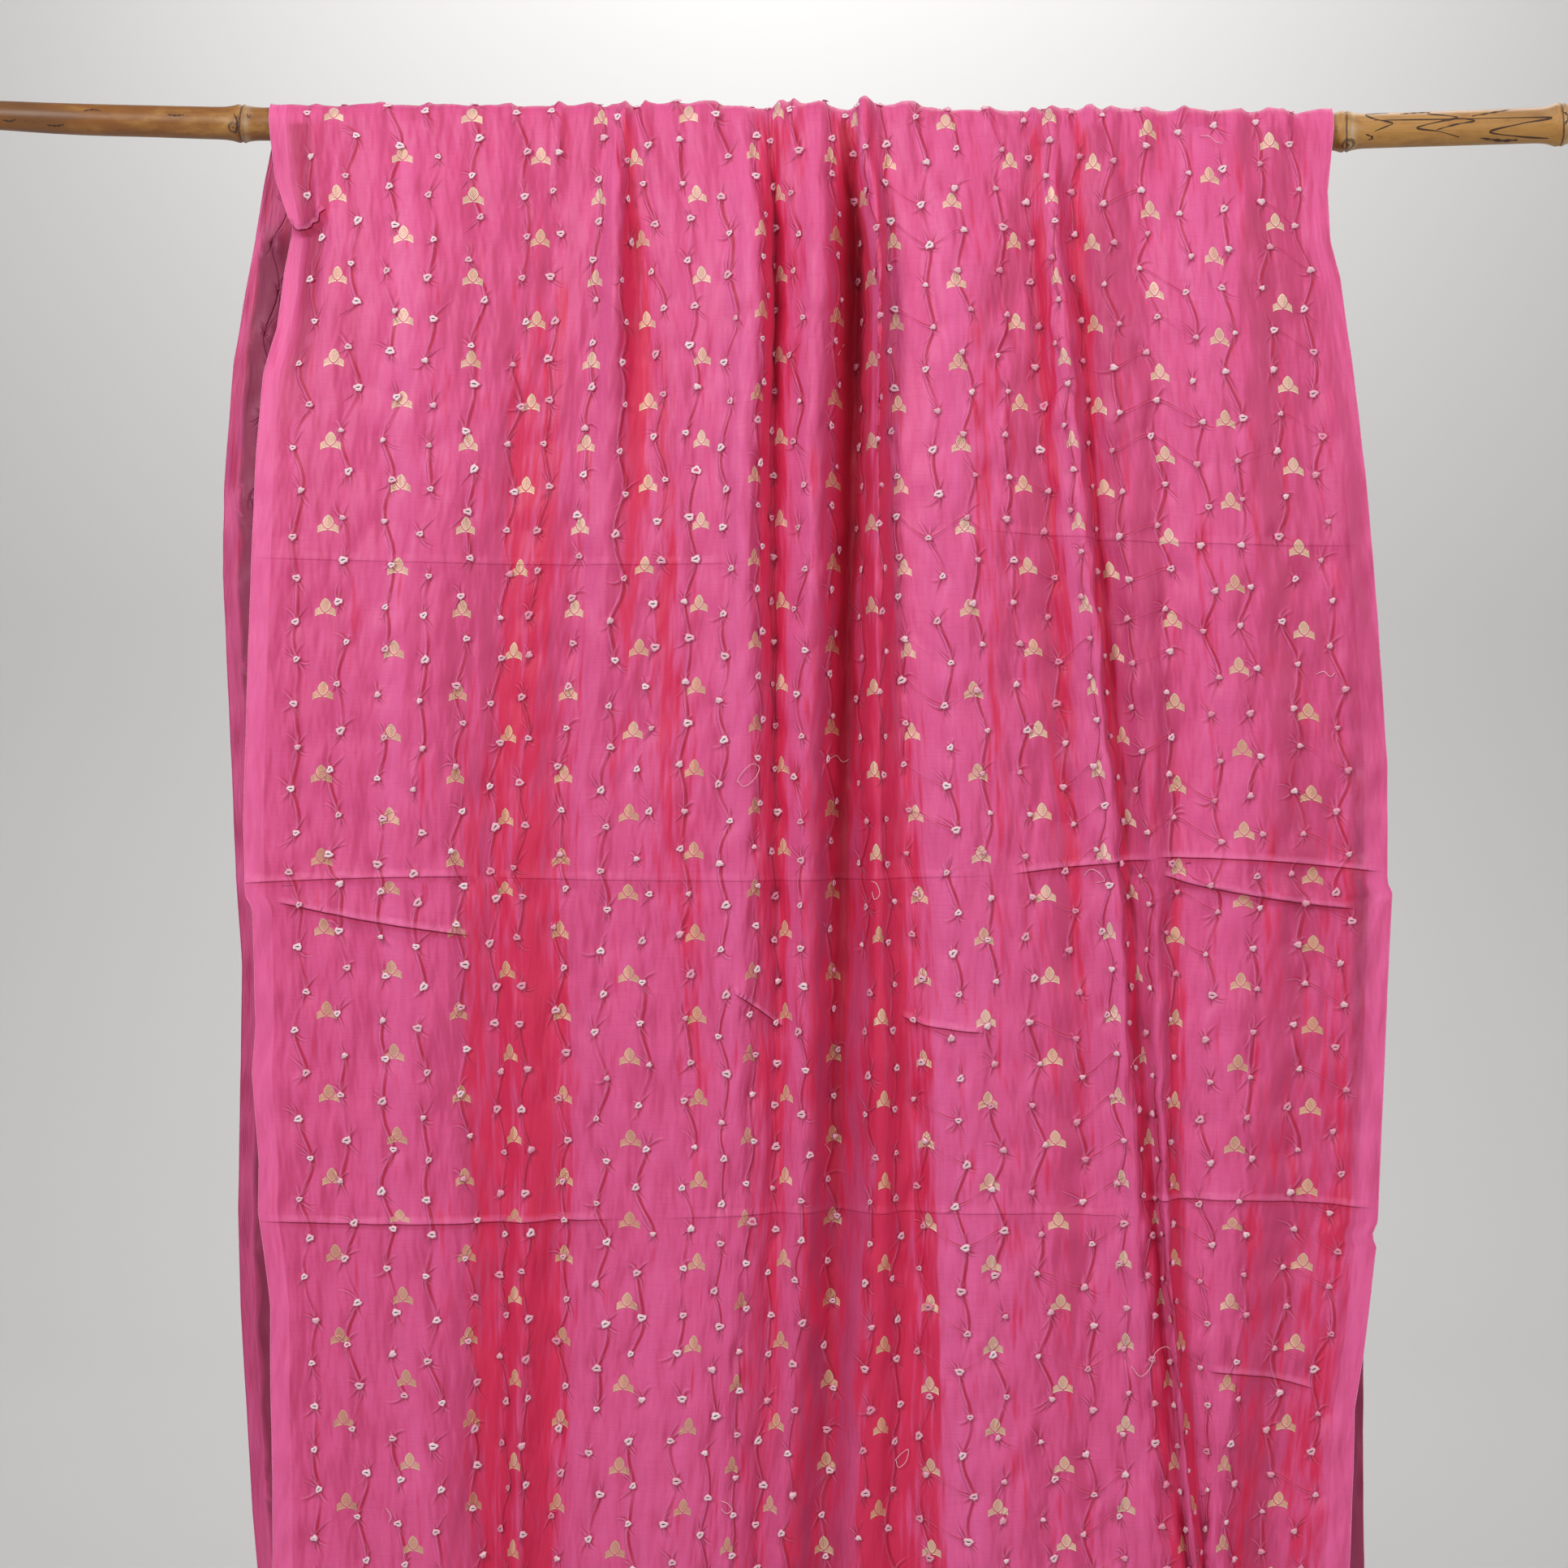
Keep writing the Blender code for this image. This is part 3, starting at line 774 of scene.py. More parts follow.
def unit(vectors: Array) -> Array:
    """The vectors scaled to length one."""
    return vectors / np.maximum(np.linalg.norm(vectors, axis=-1, keepdims=True), 1e-12)


def grid_normals(points: Array) -> Array:
    """The normals of a grid of points, facing away from the pole."""
    return unit(np.cross(np.gradient(points, axis=1), np.gradient(points, axis=0)))


def store_marks(mesh: bpy.types.Mesh, name: str, *marks: Array) -> None:
    """Store three numbers for each point of a mesh under a name."""
    attribute = mesh.attributes.new(name, "FLOAT_VECTOR", "POINT")
    attribute.data.foreach_set("vector", np.stack(marks, axis=-1).astype(np.float32).ravel())


def flat_map(mesh: bpy.types.Mesh, across: Array, along: Array) -> None:
    """Store where each point lies on the flat cloth, in metres, as the UV map named flat."""
    layer = mesh.uv_layers.new(name="flat")
    corners = np.empty(len(mesh.loops), np.int32)
    mesh.loops.foreach_get("vertex_index", corners)
    places = np.stack([across, along], axis=1)[corners] * MM
    layer.data.foreach_set("uv", places.astype(np.float32).ravel())


def add_piece(name: str, points: Array, faces: Array, material: bpy.types.Material) -> bpy.types.Object:
    """Make a smooth shaded mesh piece.

    Args:
        name: the piece's name.
        points: its points, in mm.
        faces: rows of point numbers.
        material: its one material.

    Returns:
        The new object, in metres.
    """
    mesh = bpy.data.meshes.new(name)
    mesh.from_pydata((points * MM).tolist(), [], [list(face) for face in faces])
    mesh.materials.append(material)
    mesh.shade_smooth()
    piece = bpy.data.objects.new(name, mesh)
    bpy.context.scene.collection.objects.link(piece)
    return piece


def grid_faces(rows: int, columns: int) -> list[tuple[int, int, int, int]]:
    """The faces of a grid of points, numbered row by row."""
    corner = (np.arange(rows - 1)[:, None] * columns + np.arange(columns - 1)[None, :]).ravel()
    faces = np.stack([corner, corner + 1, corner + columns + 1, corner + columns], axis=1)
    return faces.tolist()


def ring_faces(starts: Sequence[int], sides: int) -> Array:
    """The faces between rings of points, as rows of four point numbers.

    Args:
        starts: the number of each ring's first point.
        sides: how many points each ring has.
    """
    side = np.arange(sides)
    after = (side + 1) % sides
    near, far = (np.array(part)[:, None] for part in (starts[:-1], starts[1:]))
    corners = np.stack([near + side, near + after, far + after, far + side], axis=-1)
    return corners.reshape(-1, 4)


def joined(parts: list[tuple[Array, list[list[int]]]]) -> tuple[Array, list[list[int]]]:
    """Several meshes as one: all their points, and their faces numbered anew."""
    points, faces, start = [], [], 0
    for part_points, part_faces in parts:
        points.append(part_points)
        faces += [[corner + start for corner in face] for face in part_faces]
        start += len(part_points)
    return np.concatenate(points), faces


def tube(route: Array, radius: float, sides: int) -> tuple[Array, list[list[int]]]:
    """A closed tube along a route of points.

    Args:
        route: the points of its middle line, in mm.
        radius: its radius, in mm.
        sides: how many sides its ring has.

    Returns:
        Its points, and its faces with both caps.
    """
    ahead = unit(np.gradient(route, axis=0))
    aside = unit(np.cross(ahead, (0.31, -0.87, 0.38)))
    up = np.cross(ahead, aside)
    turn = np.arange(sides) / sides * math.tau
    ring = np.cos(turn)[None, :, None] * aside[:, None] + np.sin(turn)[None, :, None] * up[:, None]
    points = (route[:, None] + radius * ring).reshape(-1, 3)
    starts = np.arange(len(route)) * sides
    caps = [list(range(sides))[::-1], list(range(starts[-1], starts[-1] + sides))]
    return points, ring_faces(starts, sides).tolist() + caps


def operator(operation: str, swapped: bool = False) -> Callable[["Wire", "Wire | float"], "Wire"]:
    """A method of Wire that adds a Math node on the wire and another value, or on both swapped."""

    def apply(wire: "Wire", other: "Wire | float") -> "Wire":
        """Add the node."""
        return wire.graph.math(operation, *((other, wire) if swapped else (wire, other)))

    return apply


class Wire:
    """A node's socket that does arithmetic: each operator on it adds a Math node."""

    def __init__(self, graph: "Graph", socket: bpy.types.NodeSocket) -> None:
        """Wrap one output socket of a graph."""
        self.graph = graph
        self.socket = socket

    __add__, __radd__ = operator("ADD"), operator("ADD", swapped=True)
    __sub__, __rsub__ = operator("SUBTRACT"), operator("SUBTRACT", swapped=True)
    __mul__, __rmul__ = operator("MULTIPLY"), operator("MULTIPLY", swapped=True)
    __truediv__ = operator("DIVIDE")
    most, least = operator("MAXIMUM"), operator("MINIMUM")

    def __abs__(self) -> "Wire":
        """This without its sign."""
        return self.graph.math("ABSOLUTE", self)

    def rise(self, start: float, end: float) -> "Wire":
        """0 before start, 1 after end, and a smooth step between them, also where end is lower."""
        low, high = sorted((start, end))
        values = {"Value": self, "From Min": low, "From Max": high}
        step = self.graph.node("ShaderNodeMapRange", {"interpolation_type": "SMOOTHSTEP"}, values)
        return step if start < end else 1 - step


class Graph:
    """The node tree of one material, around a Principled shader."""

    def __init__(self, name: str, fixed: dict[str, float | tuple]) -> None:
        """Start the material.

        Args:
            name: the material's name.
            fixed: the shader's values that are the same all over the surface.
        """
        self.material = bpy.data.materials.new(name)
        self.material.use_nodes = True
        self.tree = self.material.node_tree
        self.shader = self.tree.nodes["Principled BSDF"]
        for socket, value in fixed.items():
            self.shader.inputs[socket].default_value = value

    def node(self, kind: str, settings: dict | None = None, inputs: dict | None = None,
             output: int | str = 0) -> Wire:
        """Add a node.

        Args:
            kind: the node's type.
            settings: its properties.
            inputs: values or wires for its sockets, by name or number.
            output: which output is wanted.

        Returns:
            That output as a wire.
        """
        made = self.tree.nodes.new(kind)
        for key, value in (settings or {}).items():
            setattr(made, key, value)
        for key, value in (inputs or {}).items():
            if isinstance(value, Wire):
                self.tree.links.new(value.socket, made.inputs[key])
            else:
                made.inputs[key].default_value = value
        return Wire(self, made.outputs[output])

    def math(self, operation: str, *values: Wire | float) -> Wire:
        """Add a Math node on these values."""
        return self.node("ShaderNodeMath", {"operation": operation}, dict(enumerate(values)))

    def join(self, x: Wire | float, y: Wire | float, z: Wire | float = 0.0) -> Wire:
        """A vector from three numbers."""
        return self.node("ShaderNodeCombineXYZ", None, {"X": x, "Y": y, "Z": z})

    def split(self, vector: Wire) -> tuple[Wire, Wire, Wire]:
        """The three numbers of a vector."""
        first = self.node("ShaderNodeSeparateXYZ", None, {"Vector": vector})
        sockets = first.socket.node.outputs
        return first, Wire(self, sockets[1]), Wire(self, sockets[2])

    def mix(self, share: Wire | float, first: Wire | Colour, second: Wire | Colour) -> Wire:
        """A colour, first where share is 0 and second where it is 1."""
        first, second = (
            side if isinstance(side, Wire) else (*side, 1.0) for side in (first, second)
        )
        values = {0: share, 6: first, 7: second}
        return self.node("ShaderNodeMix", {"data_type": "RGBA"}, values, output=2)

    def paint(self, base: Wire | Colour, *coats: tuple[Wire | float, Wire | Colour]) -> Wire:
        """A base colour under coats, each given as its share and its colour."""
        for share, colour in coats:
            base = self.mix(share, base, colour)
        return base

    def marks(self, name: str) -> tuple[Wire, Wire, Wire]:
        """The three numbers that are stored on the mesh under a name."""
        return self.split(self.node("ShaderNodeAttribute", {"attribute_name": name}, output="Vector"))

    def place(self) -> Wire:
        """Where each point is, in metres."""
        return self.node("ShaderNodeTexCoord", output="Object")

    def noise(self, place: Wire, scale: float, detail: float = 2.0, roughness: float = 0.5) -> Wire:
        """Smooth noise, from 0 to 1."""
        values = {"Vector": place, "Scale": scale, "Detail": detail, "Roughness": roughness}
        return self.node("ShaderNodeTexNoise", None, values)

    def weave(self, across: Wire, along: Wire, detail: float = 3.0, roughness: float = 0.5) -> Wire:
        """Smooth noise over the flat cloth."""
        return self.noise(self.join(across, along), 1.0, detail, roughness)

    def finish(self, colour: Wire, roughness: Wire | None = None, height: Wire | None = None,
               metallic: Wire | None = None) -> bpy.types.Material:
        """Wire the shader up.

        Args:
            colour: the surface's colour.
            roughness: its roughness, where it changes over the surface.
            height: its relief in mm, where it has one.
            metallic: how metallic it is, where that changes over the surface.

        Returns:
            The finished material.
        """
        links = {"Base Color": colour, "Roughness": roughness, "Metallic": metallic}
        if height is not None:
            links["Normal"] = self.node("ShaderNodeBump", None, {"Height": height, "Distance": MM})
        for socket, wire in links.items():
            if wire is not None:
                self.tree.links.new(wire.socket, self.shader.inputs[socket])
        return self.material


@dataclass(frozen=True)
class SprigPattern:
    """The woven sprig: a pointed leaf between two wings, in half drop columns. Sizes in mm."""

    border: float = BORDER
    pitch: float = SPRIG_PITCH
    repeat: float = 67.3
    first_row: float = 61.0
    last_column_edge: float = 1077.0
    leaf: tuple[float, float] = (4.3, 5.6)
    leaf_height: float = 3.0
    point: float = 1.5
    wing_top: float = 4.6
    wing_slope: float = 0.62
    wing_out: float = 8.6
    arch: float = -3.9
    arch_bend: float = 0.034
    thread: float = 1.35

    def draw(self, graph: Graph, across: Wire, along: Wire) -> tuple[Wire, Wire]:
        """Draw the sprigs.

        Args:
            graph: the silk's graph.
            across: distance from the left edge of the flat cloth, in mm.
            along: distance down from the pole along the flat cloth, in mm.

        Returns:
            Where the gold thread is, and how light each thread of it is.
        """
        column = (across - self.border) / self.pitch
        nearest = graph.math("ROUND", column)
        x = (column - nearest) * self.pitch
        half_drop = graph.math("PINGPONG", nearest, 1.0) * (self.repeat / 2)
        row = (along - self.first_row + half_drop) / self.repeat
        y = (graph.math("ROUND", row) - row) * self.repeat
        aside = abs(x)

        leaf_x = graph.math("POWER", aside / self.leaf[0], self.point)
        leaf_y = graph.math("POWER", abs(y - self.leaf_height) / self.leaf[1], self.point)
        off_leaf = leaf_x + leaf_y
        leaf = off_leaf.rise(1.06, 0.94)
        under_wing = self.arch - aside * aside * self.arch_bend
        wing = (self.wing_top - aside * self.wing_slope - y).rise(-0.3, 0.3)
        wing = wing * (y - under_wing).rise(-0.3, 0.3) * aside.rise(self.wing_out, self.wing_out - 0.5)
        wing = wing * off_leaf.rise(1.10, 1.42) * aside.rise(0.1, 0.6)
        rim = off_leaf.rise(0.62, 0.90) * leaf + (y - under_wing).rise(1.3, 0.5) * wing

        inside = (across.rise(45, 46)) * across.rise(self.last_column_edge, self.last_column_edge - 1)
        gold = leaf.most(wing) * inside
        slant = y * 1.0 + x * 0.75
        counter = y * 1.0 - x * 0.75
        hatch = graph.math("SINE", slant * (math.tau / self.thread))
        cross = graph.math("SINE", counter * (math.tau / self.thread))
        side = x.rise(-0.4, 0.4)
        thread = (0.45 + 0.45 * (hatch * side + cross * (1 - side)) + rim * 0.4).least(1.0)
        return gold, thread


@dataclass(frozen=True)
class SilkFinish:
    """Shot silk, pink weft over crimson threads along its length, with woven sprigs and pressed in
    puckers, and painted light and shade on its folds, puckers, tucks and gold.
    """

    pink: Colour = (0.66, 0.062, 0.200)
    light_pink: Colour = (0.78, 0.120, 0.330)
    highlight_pink: Colour = (0.86, 0.200, 0.430)
    dusky_pink: Colour = (0.46, 0.034, 0.118)
    selvedge: Colour = (0.84, 0.135, 0.360)
    crimson: Colour = (0.66, 0.016, 0.078)
    maroon: Colour = (0.44, 0.010, 0.036)
    # Painted shade, on the shaded sides of pinched lines and puckers and under the tucks' lips.
    pinched: Colour = (0.44, 0.004, 0.036)
    shade_side: Colour = (0.26, 0.030, 0.080)
    gold: Colour = (0.70, 0.50, 0.26)
    lit_gold: Colour = (0.88, 0.76, 0.54)
    shaded_gold: Colour = (0.42, 0.13, 0.09)
    selvedge_width: float = 15.5
    right_selvedge_width: float = 18.0
    width: float = CLOTH_WIDTH
    brightest_gold: float = 780.0
    knot_pitch: float = 34.5
    tails: int = 7
    wrinkle_lean: float = 0.14
    wrinkle_height: float = 4.5
    sprigs: SprigPattern = field(default_factory=SprigPattern)

    def material(self) -> bpy.types.Material:
        """Make the silk's material."""
        graph = Graph("silk", {
            "Sheen Weight": 0.10,
            "Sheen Roughness": 0.4,
            "Sheen Tint": (1.0, 0.55, 0.75, 1.0),
            "Specular IOR Level": 0.38,
            "Anisotropic": 0.35,
        })
        flat = graph.node("ShaderNodeUVMap", {"uv_map": "flat"})
        flat_x, flat_y, _ = graph.split(flat)
        across, along = flat_x * 1000.0, flat_y * 1000.0
        crimson_share, deep_share, turn = graph.marks("tone")
        sheer_shade, light, _ = graph.marks("layer")

        streak = graph.weave(across * 0.060, along * 0.0060)
        fine_streak = graph.weave(across * 0.20, along * 0.016)
        mottle = graph.weave(across * 0.035, along * 0.020)
        slub = graph.weave(across * 0.040, along * 0.75, 3.0, 0.6)
        grain = graph.weave(across * 1.5, along * 1.5, 2.0)
        crinkle, slant = self._wrinkles(graph, across, along)

        # Painted light and shade: faces and wrinkle sides turned left are painted lighter, along with
        # satin streaks and the light bands, and those turned right go towards crimson.
        facing_left = (0.0 - turn) * 0.28
        lit = streak * 0.35 + fine_streak * 0.35 + mottle * 0.30 + facing_left + slant * 1.2
        lit = (lit + light * 0.20 - 0.04).rise(0.24, 0.86)
        # A duller tone where the lit share is low, and painted shade in the shade bands.
        dull_and_shade = (0.40 - lit).rise(0.0, 0.45) * 0.5 + (0.0 - light).rise(0.1, 1.0) * 0.75
        pucker_shade, crest, shaded_side = self._puckers(graph)
        # The crimson share: the silk's own crimson, and painted shade in the crimson bands, on faces
        # turned right and on the shaded sides of wrinkles and strings.
        wander = streak * 0.8 + fine_streak * 1.5 + mottle * 0.3 - 1.30 - slant * 1.0
        drive = crimson_share * 0.76 + turn * 0.36 * (1 - crimson_share * 0.8)
        warp_and_shade = (drive + wander + shaded_side * 0.14).rise(0.16, 0.72)
        crimson = warp_and_shade.most(pucker_shade)
        # The selvedges are the silk's own paler weave, painted paler still where the silk is lit.
        selvedge = self._selvedges(across, along, lit)
        woven = selvedge * (1 - crimson * 0.6) * (0.25 + streak * 0.5 + lit * 0.5).least(1.0)
        gold, thread = self.sprigs.draw(graph, across, along)
        # The gold's tone: paler with its thread pattern and in random patches, and painted light high
        # up, in the middle of the right half and on faces turned left; its coppery tone is painted
        # shade.
        patch = graph.weave(across * 0.021, along * 0.013, 2.0)
        brightest = abs(across - self.brightest_gold).rise(330.0, 80.0).most(along.rise(620.0, 250.0))
        glint = thread * 0.50 + patch * 0.60 + brightest * 0.28 + facing_left * 0.8 - 0.12
        metal = graph.paint(
            self.shaded_gold, (glint.rise(0.05, 0.60), self.gold), (glint.rise(0.55, 1.0), self.lit_gold)
        )
        roughness = 0.50 + grain * 0.10 - lit * 0.06 - gold * 0.12
        fold, lip, lit_lip = self._folded(graph)
        # Painted light and shade in these coats: the lit and duller tones, the crimson of the bands and
        # of faces turned right, the dark sides of puckers and lips, the highlights on crests and lips,
        # maroon in deep folds and the darker strips of single silk. The slubs, selvedges and gold
        # thread are the silk's own, with painted light on the gold and selvedges.
        colour = graph.paint(
            self.pink,
            (lit, self.light_pink),
            (dull_and_shade, self.dusky_pink),
            (slub.rise(0.46, 0.72) * 0.16, self.dusky_pink),
            (warp_and_shade * 0.94, self.crimson),
            # Painted shade on the shaded sides of the pinched lines and puckers.
            (pucker_shade * 0.9 * (1 - sheer_shade), self.pinched),
            # Painted highlight on the crests of the puckers and strings.
            (crest * (0.32 - warp_and_shade * 0.16), self.highlight_pink),
            # Painted shade: maroon in the deepest folds.
            ((deep_share + wander * 0.5).rise(0.20, 0.80) * 0.85, self.maroon),
            (woven, self.selvedge),
            # Painted shade where one thickness of silk shows beyond the other.
            (sheer_shade, self.shade_side),
            (gold * (0.30 + 0.68 * thread.rise(0.15, 0.65)), metal),
            # Painted highlight above each tuck's lip.
            (lit_lip * 0.35, self.highlight_pink),
            # Painted shade under each tuck's lip.
            (lip * 0.65, self.pinched),
        )
        height = slub * 0.10 + grain * 0.05 + crest * 0.8 + gold * (0.10 + 0.16 * thread)
        height = height + fold + crinkle * self.wrinkle_height * (1 - sheer_shade * 0.7)
        height = height + selvedge * graph.math("SINE", across * 3.1) * 0.04
        return graph.finish(colour, roughness, height, gold * 0.25)

    def _selvedges(self, across: Wire, along: Wire, lit: Wire) -> Wire:
        """Where the two plain woven edges are; the right one is fainter near the pole."""
        right_edge = self.width - self.right_selvedge_width
        left = across.rise(self.selvedge_width + 0.5, self.selvedge_width - 0.5)
        # Stronger where the silk is lit, as painted light.
        lower = along.rise(250.0, 640.0) * 0.35 + 0.30 + lit * 0.25
        return left.most(across.rise(right_edge - 0.5, right_edge + 0.5) * lower)

    @classmethod
    def _wrinkles(cls, graph: Graph, across: Wire, along: Wire) -> tuple[Wire, Wire]:
        """The soft wrinkles between the strings, which lean to both sides of upright.

        Returns:
            Their height, from 0 to 1, and how far each point faces left, from about -0.5 to 0.5.
        """
        height, beside = 0.0, 0.0
        for lean in (-cls.wrinkle_lean, cls.wrinkle_lean):
            x, y = (across + along * lean) * 0.072, along * 0.013 + lean * 9.0
            height = height + graph.weave(x, y, 2.0)
            beside = beside + graph.weave(x + 0.14, y, 2.0)
        return height * 0.5, (beside - height) * 0.5

    @staticmethod
    def _folded(graph: Graph) -> tuple[Wire, Wire, Wire]:
        """The tucks: their relief in mm, the shade under the lip of each, and its lit side."""
        off, strength, distance = graph.marks("crease")
        real = strength * distance.rise(7.0, 4.5)
        relief = off.rise(-7.0, 0.0) * off.rise(1.2, 0.0) * real
        seen = real.rise(0.1, 0.6)
        lip = (off.rise(-0.4, 0.4) * off.rise(7.0, 0.6) * 0.7).most(abs(off - 0.8).rise(1.2, 0.3))
        return relief * 2.5, lip * seen, off.rise(-6.0, -1.2) * off.rise(0.2, -0.6) * seen

    @classmethod
    def _puckers(cls, graph: Graph) -> tuple[Wire, Wire, Wire]:
        """The thin pinched lines along the strings and around the knots.

        Returns:
            How much crimson their shaded sides show, how high they stand, both from 0 to 1, and
            how far each point is on the shaded side of its string, from -1 to 1.
        """
        off, strength, cross = graph.marks("pinch")
        shade = abs(off - 1.3).rise(1.9, 0.5) * strength.rise(0.05, 0.5)
        ridge = abs(off + 1.2).rise(1.5, 0.2) * strength.rise(0.0, 0.6)
        cell_x, cell_y, _ = graph.marks("cell")
        string, row = graph.math("ROUND", cell_x), graph.math("ROUND", cell_y)
        knot_x, knot_y = (cell_x - string) * cls.knot_pitch, (cell_y - row) * cls.knot_pitch
        shade = shade.most(abs(knot_y - 0.95).rise(1.0, 0.2) * cross.rise(0.05, 0.6))
        ridge = ridge.most(abs(knot_y + 0.1).rise(1.4, 0.0) * cross)
        tied = string.rise(0.4, 0.6) * string.rise(STRINGS + 0.6, STRINGS + 0.4) * row.rise(0.4, 0.6)
        radius = graph.math("SQRT", knot_x * knot_x + knot_y * knot_y) + 0.01
        for number in range(cls.tails):
            way = 1.0 if number % 2 else -1.0
            turn = graph.math("ARCTAN2", knot_x, knot_y * way)
            dark, crest = cls._tail(graph, turn, radius, graph.join(string, row, 1.0 + number))
            shade = shade.most(dark * tied)
            ridge = ridge.most(crest * tied)
        side = graph.math("SINE", (cell_x - string) * math.tau)
        return shade * 0.95, ridge, side

    @staticmethod
    def _tail(graph: Graph, turn: Wire, radius: Wire, seed: Wire) -> tuple[Wire, Wire]:
        """One pucker that runs out from a knot, bends and dies away.

        Args:
            graph: the silk's graph.
            turn: the angle around the knot, from straight up or straight down.
            radius: the distance from the knot, in mm.
            seed: numbers that are the pucker's own.

        Returns:
            Its crimson side and its crest, from 0 to 1.
        """
        chances = graph.node("ShaderNodeTexWhiteNoise", {"noise_dimensions": "3D"}, {"Vector": seed}, 1)
        lean, bend, reach = graph.split(chances)
        off = (turn - (lean - 0.5) * 1.4 - (bend - 0.5) * 0.08 * radius) * radius
        length = 5.0 + reach * 14.0
        fade = radius.rise(2.0, 3.2) * (radius / length).rise(1.0, 0.35)
        dark = abs(off - 0.95).rise(1.3, 0.2) * fade * 0.75
        crest = abs(off + 0.85).rise(1.3, 0.2) * fade
        return dark, crest


@dataclass(frozen=True)
class KnotFinish:
    """Undyed silk on the knots, dyed silk at their foot, and painted shadow in the slit of their mouth.
    """

    undyed: Colour = (0.87, 0.68, 0.72)
    blush: Colour = (0.74, 0.26, 0.37)
    dyed: Colour = (0.64, 0.065, 0.195)
    # Painted shadow in the open slit at the knot's middle.
    mouth: Colour = (0.060, 0.012, 0.020)

    def material(self) -> bpy.types.Material:
        """Make the knots' material."""
        graph = Graph("tied_silk", {"Sheen Weight": 0.2, "Specular IOR Level": 0.4})
        # The undyed share, the painted shadow of the slit and the blush of each point.
        bare, dark, blush = graph.marks("dye")
        grain = graph.noise(graph.place(), 900.0)
        colour = graph.paint(
            self.dyed,
            ((bare + (grain - 0.5) * 0.9).rise(0.15, 0.80), graph.mix(blush, self.undyed, self.blush)),
            ((dark + (grain - 0.5) * 0.4).rise(0.25, 0.75), self.mouth),
        )
        return graph.finish(colour, 0.5 + grain * 0.2, grain * 0.35)


@dataclass(frozen=True)
class ThreadFinish:
    """Plain thread, for the loose ends of tying thread and the rolled edges."""

    name: str
    colour: Colour
    shade: Colour

    def material(self) -> bpy.types.Material:
        """Make the thread's material."""
        graph = Graph(self.name, {"Specular IOR Level": 0.3})
        twist = graph.noise(graph.place(), 1400.0)
        colour = graph.mix(twist.rise(0.3, 0.7), self.shade, self.colour)
        return graph.finish(colour, 0.55 + twist * 0.2, twist * 0.12)


@dataclass(frozen=True)
class BambooFinish:
    """Dry bamboo skin: tan, browner to the left, with fibres, stains and dark node rings, and painted
    shade inside its bore.
    """

    tan: Colour = (0.250, 0.088, 0.013)
    straw: Colour = (0.46, 0.225, 0.050)
    brown: Colour = (0.140, 0.055, 0.016)
    stain: Colour = (0.055, 0.024, 0.014)
    bloom: Colour = (0.60, 0.50, 0.34)

    def material(self) -> bpy.types.Material:
        """Make the bamboo's material."""
        graph = Graph("bamboo", {"Specular IOR Level": 0.5, "Coat Weight": 0.12, "Coat Roughness": 0.3})
        x, y, z = graph.split(graph.place())
        fibres, patches, specks, clouds = (
            graph.noise(graph.join(place, y * around, z * around), 1.0, detail, roughness)
            for place, around, detail, roughness in (
                (x * 22.0, 900.0, 3.0, 0.6),
                (x * 26.0, 60.0, 4.0, 0.6),
                (x * 150.0, 420.0, 3.0, 0.65),
                (x * 9.0 + 3.1, 30.0, 3.0, 0.5),
            )
        )
        ring_dark_and_bore_shade, node_pale, scar = graph.marks("ring")
        rightness = x.rise(-0.75, 0.62)
        straw_share = (patches * 1.0 + rightness * 0.26 + fibres * 0.15 - 0.22).rise(0.30, 0.66)
        colour = graph.paint(
            self.tan,
            (straw_share, self.straw),
            (fibres.rise(0.48, 0.78) * 0.45, self.brown),
            (clouds.rise(0.50, 0.66) * (1 - rightness * 0.6) * 0.75, self.brown),
            (specks.rise(0.64, 0.72) * (0.75 - rightness * 0.45), self.stain),
            (node_pale * 0.6, self.bloom),
            ((ring_dark_and_bore_shade + (specks - 0.5) * 0.7).rise(0.3, 0.8) * 0.85, self.stain),
            ((scar + (specks - 0.5) * 0.8).rise(0.35, 0.7) * 0.75, self.stain),
        )
        height = fibres * 0.10 + specks * 0.10 + patches * 0.15
        return graph.finish(colour, 0.36 + patches * 0.22, height)


@dataclass(frozen=True)
class StudioFinish:
    """The plain matt paint of the floor and the backdrop."""

    colour: Colour = (0.60, 0.59, 0.575)

    def material(self) -> bpy.types.Material:
        """Make the studio's material."""
        graph = Graph("studio", {"Specular IOR Level": 0.15})
        cloud = graph.noise(graph.place(), 0.7)
        lighter = tuple(part * 1.06 for part in self.colour)
        return graph.finish(graph.mix(cloud, self.colour, lighter), 0.85 + cloud * 0.05)


class KnotKind(Enum):
    """How a knot looks after its thread was pulled out: its rings from the foot to the middle.

    Each ring is (radius, height, bare, dark): its sizes in mm, the share of undyed silk and the
    share of painted shadow in its mouth.
    """

    OPEN = ((4.3, -0.3, 0.0, 0.0), (3.6, 0.15, 0.55, 0.0), (2.9, 0.5, 1.0, 0.0),
            (1.6, 0.55, 1.0, 0.0), (0.8, 0.1, 0.4, 1.0), (0.0, -0.1, 0.0, 1.0))
    BUD = ((3.7, -0.4, 0.0, 0.0), (3.0, 0.5, 0.6, 0.0), (2.3, 1.2, 1.0, 0.0),
           (1.4, 1.7, 0.9, 0.0), (0.6, 1.6, 0.7, 0.2), (0.0, 1.4, 0.5, 0.3))
    FLAT = ((4.6, -0.2, 0.0, 0.0), (3.9, 0.2, 0.5, 0.0), (3.1, 0.35, 0.95, 0.0),
            (2.2, 0.3, 0.6, 0.0), (1.3, 0.2, 0.1, 0.0), (0.0, 0.2, 0.0, 0.0))


